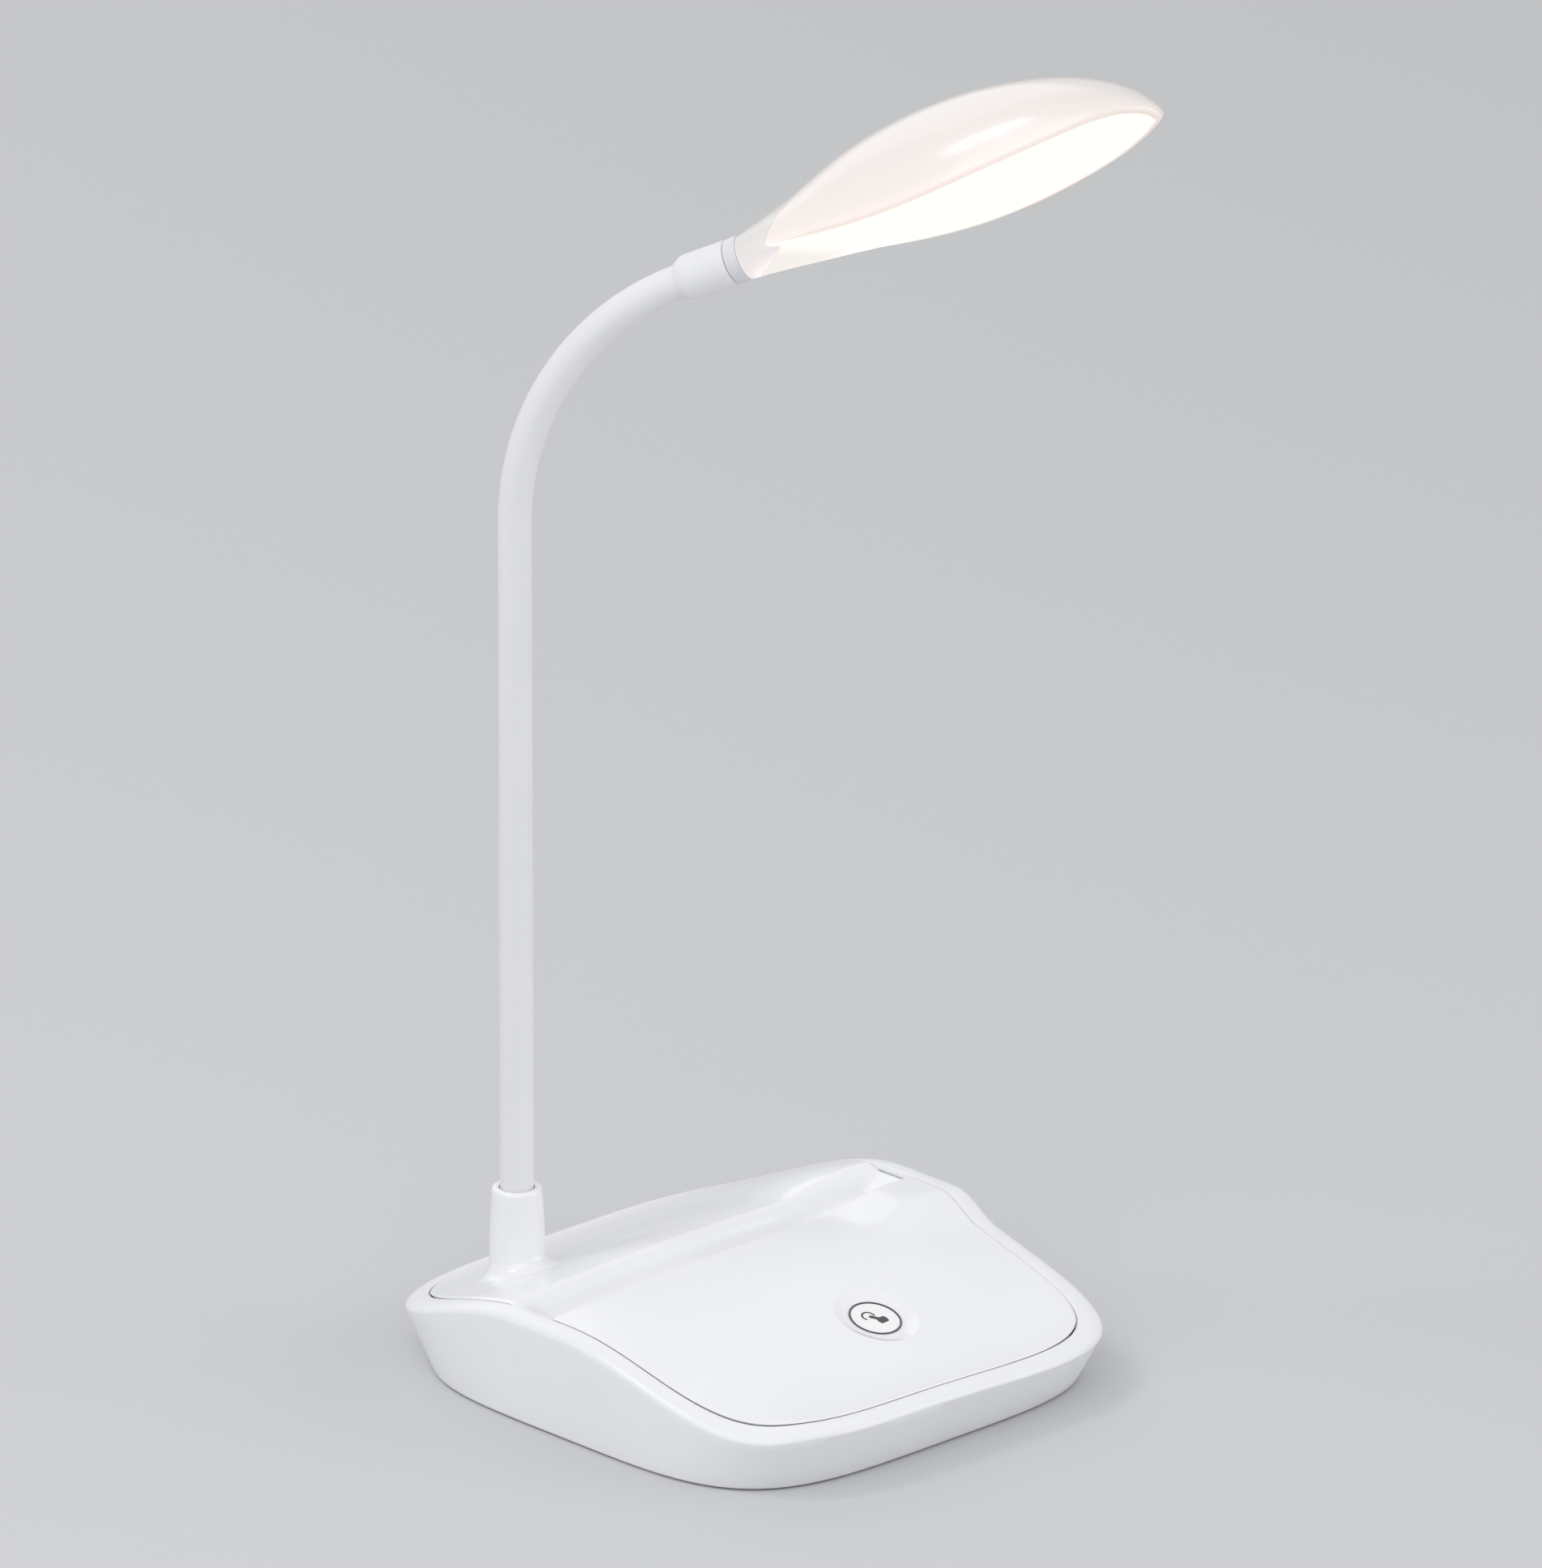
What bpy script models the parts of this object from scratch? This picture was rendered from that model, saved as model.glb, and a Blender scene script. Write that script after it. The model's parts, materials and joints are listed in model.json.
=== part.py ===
"""Rechargeable study lamp: humped base with a device groove, gooseneck arm and leaf-shaped head.

Metres, +Z up. The base is modelled about its own centre, the front of the base faces -Y, and the
whole lamp is moved at the end so that the centre of its footprint box stands on the origin.
"""

import math

import bmesh
import bpy
from mathutils import Matrix, Vector

# Clearances shared by the whole lamp
GAP = 0.0003
OVERRUN = 0.002
MERGE = 0.00001

# Base: the outline at the rim, how far the walls lean in to the desk, and the walls
RIM_HALF_X = 0.0773
RIM_HALF_Y = 0.0874
RIM_SQUARENESS = 4.3
RIM_SHIFT_Y = 0.0010
WALL_LEAN_X = 0.0009
WALL_LEAN_Y = 0.0102
FOOT_HALF_X = RIM_HALF_X - WALL_LEAN_X
FOOT_HALF_Y = RIM_HALF_Y - WALL_LEAN_Y
FOOT_SQUARENESS = 4.1
RIM_FRONT_Y = RIM_SHIFT_Y - RIM_HALF_Y
RIM_REAR_Y = RIM_SHIFT_Y + RIM_HALF_Y
WALL = 0.0022
FOOT_FILLET = 0.0010
FOOT_PROUD = 0.0007
RIM_BAND_WIDTH = 0.0050
RIM_BAND_DROP = 0.0024
LEDGE_WIDTH = 0.0032
LEDGE_THICKNESS = 0.0016
OUTLINE_STEP_DEG = 7.5

# The hump of the top: front height, height of the hump, rear height and where the slopes lie
FRONT_HEIGHT = 0.0175
HUMP_HEIGHT = 0.0322
REAR_HEIGHT = 0.0150
FRONT_SLOPE_INSET = 0.0064
FRONT_SLOPE_START = RIM_FRONT_Y + FRONT_SLOPE_INSET
FRONT_SLOPE_END = 0.0020
REAR_SLOPE_START = 0.0180
REAR_SLOPE_BEYOND = 0.0036
REAR_SLOPE_END = RIM_REAR_Y + REAR_SLOPE_BEYOND
DECK_CROWN = 0.0022

# The raised shoulder at the right-hand end of the hump
SHOULDER_HEIGHT = 0.0045
SHOULDER_INSET = 0.0153
SHOULDER_RUN = 0.0320
SHOULDER_X_END = RIM_HALF_X - SHOULDER_INSET
SHOULDER_X_START = SHOULDER_X_END - SHOULDER_RUN
SHOULDER_Y_START = -0.0190
SHOULDER_Y_END = -0.0030

# Deck panel and the groove that a device stands in
DECK_THICKNESS = 0.0022
DECK_COLUMNS = 16
GROOVE_FRONT = 0.0080
GROOVE_LIP = 0.0025
GROOVE_FLOOR_WIDTH = 0.0095
GROOVE_DEPTH = 0.0062
GROOVE_REST_RUN = 0.0070
GROOVE_END_DEPTH = 0.0015
GROOVE_END_FADE = 0.0110
ROW_PITCH = 0.0080

# Touch button
BUTTON_X = 0.0045
BUTTON_INSET = 0.0419
BUTTON_Y = RIM_FRONT_Y + BUTTON_INSET
BUTTON_RADIUS = 0.0068
BUTTON_RING_WIDTH = 0.0009
BUTTON_DISH_RADIUS = 0.0122
BUTTON_DISH_DEPTH = 0.0011
BUTTON_THICKNESS = 0.0018
BUTTON_CUP_WALL = 0.0012
BUTTON_CUP_DEPTH = 0.0040
TOUCH_WIRE = 0.0006
TOUCH_COIL_RADIUS = 0.0032
TOUCH_COIL_TURNS = 4
TOUCH_COIL_POINTS = 9

# Collar moulded on the deck that the arm stands in
ARM_INSET_X = 0.0353
ARM_INSET_Y = 0.0341
ARM_X = ARM_INSET_X - RIM_HALF_X
ARM_Y = RIM_REAR_Y - ARM_INSET_Y
COLLAR_RADIUS = 0.0080
COLLAR_FLARE = 0.0120
COLLAR_FLARE_HEIGHT = 0.0040
COLLAR_TOP_RADIUS = 0.0068
COLLAR_HEIGHT = 0.0260

# Gooseneck arm: sleeve, core and the ball faces between its links
SLEEVE_RADIUS = 0.00485
SLEEVE_BORE = 0.0030
CORE_RADIUS = 0.0027
CORE_BORE = 0.0012
BALL_RADIUS = 0.0053
SLEEVE_SIDES = 18
CORE_SIDES = 12
ARM_STRAIGHT = 0.2530
BEND_RADIUS = 0.0857
BEND_AZIMUTH_DEG = 30.0
HEAD_PITCH_DEG = 25.5
FIRST_JOINT = 0.0840
JOINT_PITCH = 0.0450
JOINT_COUNT = 6
BEND_RINGS = 4
STUD_RADIUS = 0.0029
STUD_LENGTH = 0.0150
NUT_RADIUS = 0.0058
NUT_THICKNESS = 0.0032
WASHER_RADIUS = 0.0075
WASHER_THICKNESS = 0.0010

# Ferrule, swivel ring and clip at the end of the arm
FERRULE_LENGTH = 0.0170
FERRULE_RADIUS = 0.0067
FERRULE_MOUTH_RADIUS = 0.0057
FERRULE_CHAMFER = 0.0026
FERRULE_SOCKET = 0.0070
FERRULE_WEB = 0.0015
RING_LENGTH = 0.0047
RING_RADIUS = 0.0066
SPIGOT_RADIUS = 0.0036
SPIGOT_WALL = 0.0009
SPIGOT_GROOVE = 0.0012
SPIGOT_GROOVE_DEPTH = 0.0005
SPIGOT_TAIL = 0.0010
CLIP_RADIUS = 0.0050
HEAD_ROLL_DEG = -27.0

# Head: a leaf-shaped shell; shares follow a curve that closes in a round tip
HEAD_LENGTH = 0.1330
HEAD_HALF_WIDTH = 0.0285
HEAD_CROWN = 0.0230
HEAD_RIM_SAG = 0.0063
HEAD_BELLY = 0.0070
SHELL_WALL = 0.0017
LENS_THICKNESS = 0.0012
HEAD_STATIONS = 15
HEAD_ARC_STEPS = 14
LENS_COLUMNS = 9
HALF_WIDTH_SHARES = (0.240, 0.577, 0.811, 0.940, 1.0, 0.958, 0.837, 0.656, 0.405, 0.170, 0.0)
CROWN_SHARES = (0.275, 0.495, 0.784, 0.920, 0.929, 0.849, 0.706, 0.514, 0.273, 0.040, -0.052)
RIM_SHARES = (0.03, -0.621, -1.013, -1.153, -1.007, -0.776, -0.538, -0.317, -0.160, -0.110, -0.190)
BELLY_SHARES = (0.97, 0.46, 0.177, 0.120, 0.137, 0.180, 0.183, 0.129, 0.089, 0.057, 0.0)
NECK_EDGE_SHARE = 0.075
NECK_EDGE_SLANT_SHARE = 0.045

# Light board in the head
LED_BOARD_START_SHARE = 0.27
LED_BOARD_END_SHARE = 0.80
LED_BOARD_WIDTH_SHARE = 0.66
LED_BOARD_RISE = 0.0010
LED_BOARD_THICKNESS = 0.0012
LED_SIZE = 0.0032
LED_HEIGHT = 0.0009
LED_ROWS = 2
LED_COLUMNS = 6
LED_MARGIN = 0.0060
LED_SCREW_RADIUS = 0.0011
LED_SCREW_HEAD_RADIUS = 0.0021
LED_SCREW_HEAD_HEIGHT = 0.0013
LED_SCREW_EDGE = 0.0045
LED_BOSS_RADIUS = 0.0026

# Bottom plate, feet and screws
PLATE_THICKNESS = 0.0020
FOOT_PAD_RADIUS = 0.0060
FOOT_PAD_CHAMFER = 0.0006
FOOT_RECESS = 0.0008
FOOT_INSET_X = 0.0224
FOOT_INSET_Y = 0.0212
FOOT_X = FOOT_HALF_X - FOOT_INSET_X
FOOT_Y = FOOT_HALF_Y - FOOT_INSET_Y
SCREW_INSET_X = 0.0153
SCREW_FRONT_INSET = 0.0444
SCREW_REAR_INSET = 0.0484
SCREW_X = RIM_HALF_X - SCREW_INSET_X
SCREW_FRONT_Y = RIM_FRONT_Y + SCREW_FRONT_INSET
SCREW_REAR_Y = RIM_REAR_Y - SCREW_REAR_INSET
SCREW_RADIUS = 0.0013
SCREW_HEAD_RADIUS = 0.0026
SCREW_HEAD_HEIGHT = 0.0012
SCREW_BITE = 0.0070
BOSS_RADIUS = 0.0036

# Battery, its cradle, ballast and the boards in the base
BATTERY_RADIUS = 0.0090
BATTERY_LENGTH = 0.0650
BATTERY_X = -0.0020
BATTERY_Y = -0.0090
BATTERY_TIP_RADIUS = 0.0030
BATTERY_TIP_LENGTH = 0.0012
CRADLE_WALL = 0.0012
CRADLE_LENGTH = 0.0480
CRADLE_OPEN_DEG = 190.0
CRADLE_STEPS = 14
BALLAST_SIDE_GAP = 0.0044
BALLAST_LENGTH = 2 * (SCREW_X - BOSS_RADIUS - BALLAST_SIDE_GAP)
BALLAST_WIDTH = 0.0300
BALLAST_THICKNESS = 0.0050
BALLAST_INSET = 0.0442
BALLAST_Y = FOOT_HALF_Y - BALLAST_INSET
BOARD_THICKNESS = 0.0014
BOARD_LENGTH = 0.0440
BOARD_WIDTH = 0.0200
BOARD_HEIGHT = 0.0035
CHIP_SIZE = 0.0070
CHIP_HEIGHT = 0.0016
STANDOFF_RADIUS = 0.0025
PAD_SIZE = 0.0080
PAD_HEIGHT = 0.0006

# Charging port and its light in the rear wall
PORT_X = 0.0
PORT_WIDTH = 0.0090
PORT_HEIGHT = 0.0034
PORT_LENGTH = 0.0080
PORT_SHELL = 0.0004
PORT_CORNER_STEPS = 5
PORT_BOARD_LENGTH = 0.0180
PORT_BOARD_WIDTH = 0.0150
LIGHT_PIPE_RADIUS = 0.0012
LIGHT_PIPE_OFFSET = 0.0100
LIGHT_PIPE_LENGTH = 0.0060

PORT_CENTRE_Z = FOOT_PROUD + PLATE_THICKNESS + BOARD_THICKNESS + PORT_HEIGHT / 2 + 2 * GAP

TURN_STEPS = 28
SMALL_TURN_STEPS = 16
HEX_STEPS = 6
CUT_PHASE_DEG = 5.0
SMOOTH_ANGLE_DEG = 32.0

PARTS_NAME = "study_lamp"
GUIDES_NAME = "guides"


def clear_scene():
    """Remove every object that the file starts with."""
    for old in list(bpy.data.objects):
        bpy.data.objects.remove(old, do_unlink=True)


def make_collection(name):
    """Return a new collection linked to the scene."""
    group = bpy.data.collections.new(name)
    bpy.context.scene.collection.children.link(group)
    return group


clear_scene()
PARTS = make_collection(PARTS_NAME)
GUIDES = make_collection(GUIDES_NAME)


def linear(channel):
    """Return the linear value of one sRGB channel between 0 and 1."""
    low = channel / 12.92
    high = ((channel + 0.055) / 1.055) ** 2.4
    return low if channel <= 0.04045 else high


def finish(name, hex_colour, roughness, metallic=0.0, alpha=1.0, glow=0.0):
    """Return a Principled material with an sRGB colour."""
    made = bpy.data.materials.new(name)
    made.use_nodes = True
    shader = made.node_tree.nodes["Principled BSDF"]
    channels = [linear(int(hex_colour[i:i + 2], 16) / 255) for i in (0, 2, 4)]
    shader.inputs["Base Color"].default_value = (*channels, 1.0)
    shader.inputs["Roughness"].default_value = roughness
    shader.inputs["Metallic"].default_value = metallic
    shader.inputs["Alpha"].default_value = alpha
    shader.inputs["Emission Color"].default_value = (*channels, 1.0)
    shader.inputs["Emission Strength"].default_value = glow
    return made


GLOSS_WHITE = finish("gloss_white_abs", "F2F3F5", 0.18)
WALL_WHITE = finish("satin_white_abs", "E9EAEC", 0.32)
SOFT_WHITE = finish("white_silicone", "ECEDEF", 0.55)
HEAD_WHITE = finish("warm_white_abs", "F4F0EE", 0.25)
RING_GREY = finish("pale_grey_abs", "DCDDE3", 0.35)
LENS_GLOW = finish("opal_diffuser", "FFF6E6", 0.40, glow=1.5)
MARK_GREY = finish("dark_grey_ring", "55565A", 0.40)
BUTTON_WHITE = finish("button_white", "FAFAFA", 0.25)
RUBBER = finish("grey_rubber", "4A4B4D", 0.85)
STEEL = finish("zinc_steel", "B9BBBE", 0.35, metallic=1.0)
DARK_STEEL = finish("ballast_steel", "6C6E71", 0.50, metallic=1.0)
BOARD_GREEN = finish("green_board", "2C6A45", 0.45)
BOARD_WHITE = finish("white_board", "EDEDE8", 0.45)
CELL_BLUE = finish("cell_wrap", "3E7FB1", 0.35)
NATURAL = finish("natural_nylon", "D8D6CE", 0.50)
CLEAR = finish("clear_light_pipe", "F5F7F8", 0.08, alpha=0.6)


def shade(obj):
    """Shade a piece smooth with its sharp edges kept."""
    obj.data.shade_smooth()
    obj.data.set_sharp_from_angle(angle=math.radians(SMOOTH_ANGLE_DEG))


def link_mesh(name, mesh, colour, group=None):
    """Make an object from a mesh and put it in its collection."""
    obj = bpy.data.objects.new(name, mesh)
    (group or PARTS).objects.link(obj)
    if colour:
        mesh.materials.append(colour)
    if group is GUIDES:
        obj.hide_render = True
        obj.display_type = "WIRE"
    return obj


def from_bmesh(name, shape, colour, group=None):
    """Turn a bmesh into a finished object."""
    mesh = bpy.data.meshes.new(name)
    shape.to_mesh(mesh)
    shape.free()
    obj = link_mesh(name, mesh, colour, group)
    shade(obj)
    return obj


def combine(target, other, operation):
    """Join a hidden guide to a piece, or cut it out. Turned cutters are set off by a part step."""
    if operation == "DIFFERENCE" and "turn" in other.modifiers:
        other.matrix_world = other.matrix_world @ Matrix.Rotation(math.radians(CUT_PHASE_DEG), 4, "Z")
    step = target.modifiers.new(f"{operation.lower()}_{other.name}", "BOOLEAN")
    step.operation = operation
    step.solver = "EXACT"
    step.object = other


def solidify(obj, thickness, offset):
    """Give an open surface its wall."""
    wall = obj.modifiers.new("wall", "SOLIDIFY")
    wall.thickness = thickness
    wall.offset = offset
    wall.use_even_offset = True


def skin(shape, rings, closed):
    """Put quads between neighbouring rings of vertices."""
    for first, second in zip(rings, rings[1:]):
        count = len(first)
        for i in range(count if closed else count - 1):
            j = (i + 1) % count
            shape.faces.new((first[i], first[j], second[j], second[i]))


def loft(name, rings, colour, group=None, wrap=False, caps=True):
    """Skin closed rings of points. wrap joins the last ring to the first, caps close both ends."""
    shape = bmesh.new()
    rows = [[shape.verts.new(point) for point in ring] for ring in rings]
    skin(shape, rows + rows[:1] if wrap else rows, True)
    if caps and not wrap:
        shape.faces.new(rows[0])
        shape.faces.new(rows[-1])
    bmesh.ops.recalc_face_normals(shape, faces=shape.faces)
    return from_bmesh(name, shape, colour, group)


def open_sheet(name, rows, colour, upward, capped=False):
    """Skin rows of points into an open surface facing upward. capped closes its last row."""
    shape = bmesh.new()
    grid = [[shape.verts.new(point) for point in row] for row in rows]
    skin(shape, grid, False)
    if capped:
        shape.faces.new(grid[-1])
    bmesh.ops.remove_doubles(shape, verts=shape.verts, dist=MERGE)
    bmesh.ops.recalc_face_normals(shape, faces=shape.faces)
    total = sum((face.normal * face.calc_area() for face in shape.faces), Vector())
    if total.dot(upward) < 0:
        bmesh.ops.reverse_faces(shape, faces=shape.faces)
    return from_bmesh(name, shape, colour)


def turned(name, profile, colour, place=None, steps=TURN_STEPS, ring=False, group=None):
    """Turn a profile of (radius, height) about Z. ring closes a profile that is off the axis."""
    mesh = bpy.data.meshes.new(name)
    count = len(profile)
    edges = [(i, (i + 1) % count) for i in range(count if ring else count - 1)]
    mesh.from_pydata([(radius, 0, height) for radius, height in profile], edges, [])
    obj = link_mesh(name, mesh, colour, group)
    screw = obj.modifiers.new("turn", "SCREW")
    screw.axis = "Z"
    screw.steps = steps
    screw.render_steps = steps
    screw.use_merge_vertices = True
    screw.merge_threshold = MERGE
    screw.use_smooth_shade = True
    obj.matrix_world = place or Matrix.Identity(4)
    return obj


def rod_profile(radius, low, high):
    """Profile of a plain cylinder, top to bottom."""
    return [(0, high), (radius, high), (radius, low), (0, low)]


def tube_profile(outer, inner, low, high):
    """Closed profile of a plain tube, down its outer side and up its bore."""
    return [(outer, high), (outer, low), (inner, low), (inner, high)]


def box(name, centre, size, colour, group=None, place=None):
    """Make a block from its centre and its three sizes."""
    shape = bmesh.new()
    bmesh.ops.create_cube(shape, size=1)
    bmesh.ops.scale(shape, vec=Vector(size), verts=shape.verts)
    bmesh.ops.translate(shape, vec=Vector(centre), verts=shape.verts)
    obj = from_bmesh(name, shape, colour, group)
    obj.matrix_world = place or Matrix.Identity(4)
    return obj


def signed_power(value, power):
    """Raise the size of a value to a power and keep its sign."""
    return math.copysign(abs(value) ** power, value)


def superellipse(half_x, half_y, squareness, angle):
    """Return the point of a rounded square at an angle of its circle."""
    power = 2 / squareness
    return half_x * signed_power(math.cos(angle), power), half_y * signed_power(math.sin(angle), power)


def ease(share):
    """Raised cosine from 0 to 1."""
    share = min(max(share, 0), 1)
    return (1 - math.cos(math.pi * share)) / 2


def ramp(value, start, end):
    """Raised cosine that climbs from 0 at start to 1 at end."""
    return ease((value - start) / (end - start))


def hump(y):
    """Height of the hump along the side of the base."""
    front = FRONT_HEIGHT + (HUMP_HEIGHT - FRONT_HEIGHT) * ramp(y, FRONT_SLOPE_START, FRONT_SLOPE_END)
    rear = REAR_HEIGHT + (HUMP_HEIGHT - REAR_HEIGHT) * ramp(y, REAR_SLOPE_END, REAR_SLOPE_START)
    return min(front, rear)


def top_height(x, y):
    """Height of the rim and of the deck's edge, with the shoulder on the right."""
    across = ramp(x, SHOULDER_X_START, SHOULDER_X_END)
    along = ramp(y, SHOULDER_Y_START, SHOULDER_Y_END) * ramp(y, REAR_SLOPE_END, REAR_SLOPE_START)
    return hump(y) + SHOULDER_HEIGHT * across * along


DECK_HALF_X = RIM_HALF_X - RIM_BAND_WIDTH - GAP
DECK_HALF_Y = RIM_HALF_Y - RIM_BAND_WIDTH - GAP
GROOVE_FLOOR_START = GROOVE_FRONT + GROOVE_LIP
GROOVE_FLOOR_END = GROOVE_FLOOR_START + GROOVE_FLOOR_WIDTH
GROOVE_BACK = GROOVE_FLOOR_END + GROOVE_REST_RUN
GROOVE_END_X = DECK_HALF_X - GROOVE_END_FADE


def groove_depth(x, y):
    """Depth of the device groove below the deck, shallower towards its two ends."""
    if y <= GROOVE_FLOOR_START:
        share = ramp(y, GROOVE_FRONT, GROOVE_FLOOR_START)
    else:
        share = 1 - ramp(y, GROOVE_FLOOR_END, GROOVE_BACK)
    fade = ramp(abs(x), DECK_HALF_X, GROOVE_END_X)
    return share * (GROOVE_END_DEPTH + (GROOVE_DEPTH - GROOVE_END_DEPTH) * fade)


def deck_height(x, y):
    """Height of the deck's upper face."""
    round_x = 1 - (x / DECK_HALF_X) ** 2
    round_y = 1 - ((y - RIM_SHIFT_Y) / DECK_HALF_Y) ** 2
    crown = DECK_CROWN * max(round_x, 0) * max(round_y, 0)
    return top_height(x, y) + crown - groove_depth(x, y)


def side_angles():
    """Return the outline angles from the front to the rear, closer together round the groove."""
    step = math.radians(OUTLINE_STEP_DEG)
    count = round(math.pi / 2 / step)
    angles = [step * i for i in range(-count, count + 1)]
    rows = [ROW_PITCH * i for i in range(-3, 4)]
    rows += [GROOVE_FRONT, GROOVE_FLOOR_START, GROOVE_FLOOR_END, GROOVE_BACK]
    rows += [(GROOVE_FLOOR_END + GROOVE_BACK) / 2]
    shares = [(y - RIM_SHIFT_Y) / DECK_HALF_Y for y in rows]
    angles += [math.asin(signed_power(share, RIM_SQUARENESS / 2)) for share in shares]
    kept = []
    for angle in sorted(angles):
        row = signed_power(math.sin(angle), 2 / RIM_SQUARENESS) * DECK_HALF_Y
        if not kept or row - kept[-1][0] > GROOVE_LIP / 3 or abs(angle) > math.radians(60):
            kept.append((row, angle))
    return [angle for row, angle in kept]


SIDE_ANGLES = side_angles()


def round_trip():
    """Return the angles of a whole outline, up the right side and down the left one."""
    right = SIDE_ANGLES
    left = [math.pi - angle for angle in reversed(SIDE_ANGLES[1:-1])]
    return right + left


def foot_point(angle, inset, z):
    """Point of the outline at the desk, drawn in by inset."""
    x, y = superellipse(FOOT_HALF_X - inset, FOOT_HALF_Y - inset, FOOT_SQUARENESS, angle)
    return Vector((x, y, z))


def rim_point(angle, inset, drop):
    """Point of the outline at the rim, drawn in by inset, at a drop below the top."""
    x, y = superellipse(RIM_HALF_X - inset, RIM_HALF_Y - inset, RIM_SQUARENESS, angle)
    y += RIM_SHIFT_Y
    return Vector((x, y, top_height(x, y) - drop))


def wall_point(angle, z):
    """Point of the outer wall at a height above the desk."""
    low = foot_point(angle, 0, FOOT_PROUD)
    high = rim_point(angle, 0, RIM_BAND_DROP)
    return low.lerp(high, (z - low.z) / (high.z - low.z))


def ledge_drop(angle):
    """Drop of the ledge below the top, deeper where the groove's ends cross it."""
    y = rim_point(angle, RIM_BAND_WIDTH, 0).y
    reach = 2 * DECK_THICKNESS
    dip = ramp(y, GROOVE_FRONT - reach, GROOVE_FRONT) * ramp(y, GROOVE_BACK + reach, GROOVE_BACK)
    return DECK_THICKNESS + 2 * GAP + (GROOVE_END_DEPTH + DECK_THICKNESS) * dip


def ledge_point(angle, inset, below):
    """Point of the ledge's face, or of its underside when below is the ledge's thickness."""
    return rim_point(angle, inset, ledge_drop(angle) + below)


def inner_wall_point(angle, drop):
    """Point of the wall's inner face at a drop below the top."""
    low = foot_point(angle, WALL, FOOT_PROUD)
    high = rim_point(angle, WALL, RIM_BAND_DROP)
    z = high.z + RIM_BAND_DROP - drop
    return low.lerp(high, (z - low.z) / (high.z - low.z))


def rear_wall_y(z):
    """Where the rear wall's outer face lies on the centre line at a height."""
    return wall_point(math.pi / 2, z).y


def base_housing():
    """Walls and rim of the base, with a ledge for the deck panel and an open bottom."""
    turns = round_trip()
    rings = [[foot_point(a, FOOT_FILLET, FOOT_PROUD) for a in turns]]
    rings.append([wall_point(a, FOOT_PROUD + FOOT_FILLET) for a in turns])
    for share in (0, 1 / 3, 2 / 3, 1):
        bend = share * math.pi / 2
        inset = RIM_BAND_WIDTH * (1 - math.cos(bend))
        drop = RIM_BAND_DROP * (1 - math.sin(bend))
        rings.append([rim_point(a, inset, drop) for a in turns])
    inner = RIM_BAND_WIDTH + LEDGE_WIDTH
    rings.append([ledge_point(a, RIM_BAND_WIDTH, 0) for a in turns])
    rings.append([ledge_point(a, inner, 0) for a in turns])
    rings.append([ledge_point(a, inner, LEDGE_THICKNESS) for a in turns])
    rings.append([inner_wall_point(a, ledge_drop(a) + LEDGE_THICKNESS + WALL) for a in turns])
    rings.append([foot_point(a, WALL, FOOT_PROUD) for a in turns])
    housing = loft("base_housing", rings, WALL_WHITE, wrap=True)
    combine(housing, port_shape("port_cut", GAP, OVERRUN, PORT_LENGTH, GUIDES), "DIFFERENCE")
    pipe = turned("pipe_cut", rod_profile(LIGHT_PIPE_RADIUS + GAP, -PORT_LENGTH, OVERRUN), None,
                  rear_place(PORT_X + LIGHT_PIPE_OFFSET), SMALL_TURN_STEPS, group=GUIDES)
    combine(housing, pipe, "DIFFERENCE")
    return housing


def rear_place(x):
    """Frame on the rear wall at the height of the port, its Z axis pointing backwards."""
    spot = Vector((x, rear_wall_y(PORT_CENTRE_Z), PORT_CENTRE_Z))
    return Matrix.Translation(spot) @ Matrix.Rotation(-math.pi / 2, 4, "X")


def deck_panel():
    """Humped top panel with the device groove, the button's dish and the arm's collar."""
    rows = []
    for angle in SIDE_ANGLES[1:-1]:
        half, y = superellipse(DECK_HALF_X, DECK_HALF_Y, RIM_SQUARENESS, angle)
        y += RIM_SHIFT_Y
        turns = [math.pi * (i / DECK_COLUMNS - 1 / 2) for i in range(DECK_COLUMNS + 1)]
        rows.append([Vector((half * math.sin(t), y, deck_height(half * math.sin(t), y)))
                     for t in turns])
    deck = open_sheet("deck_panel", rows, GLOSS_WHITE, Vector((0, 0, 1)))
    solidify(deck, DECK_THICKNESS, -1)
    for index, (x, y) in enumerate(screw_places(), 1):
        floor = plate_top() + GAP
        boss = turned(f"boss_{index}",
                      rod_profile(BOSS_RADIUS, floor, deck_height(x, y) - DECK_THICKNESS / 2),
                      None, Matrix.Translation((x, y, 0)), SMALL_TURN_STEPS, group=GUIDES)
        combine(deck, boss, "UNION")
    combine(deck, collar_shape(), "UNION")
    combine(deck, button_cup(), "UNION")
    for index, (x, y) in enumerate(screw_places(), 1):
        hole = rod_profile(SCREW_RADIUS + GAP, 0, plate_top() + SCREW_BITE)
        bore = turned(f"boss_bore_{index}", hole, None, Matrix.Translation((x, y, 0)),
                      SMALL_TURN_STEPS, group=GUIDES)
        combine(deck, bore, "DIFFERENCE")
    combine(deck, arm_bore(), "DIFFERENCE")
    combine(deck, button_cut(), "DIFFERENCE")
    return deck


def arm_root():
    """Point of the arm's axis at the deck."""
    return Vector((ARM_X, ARM_Y, deck_height(ARM_X, ARM_Y)))


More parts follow.
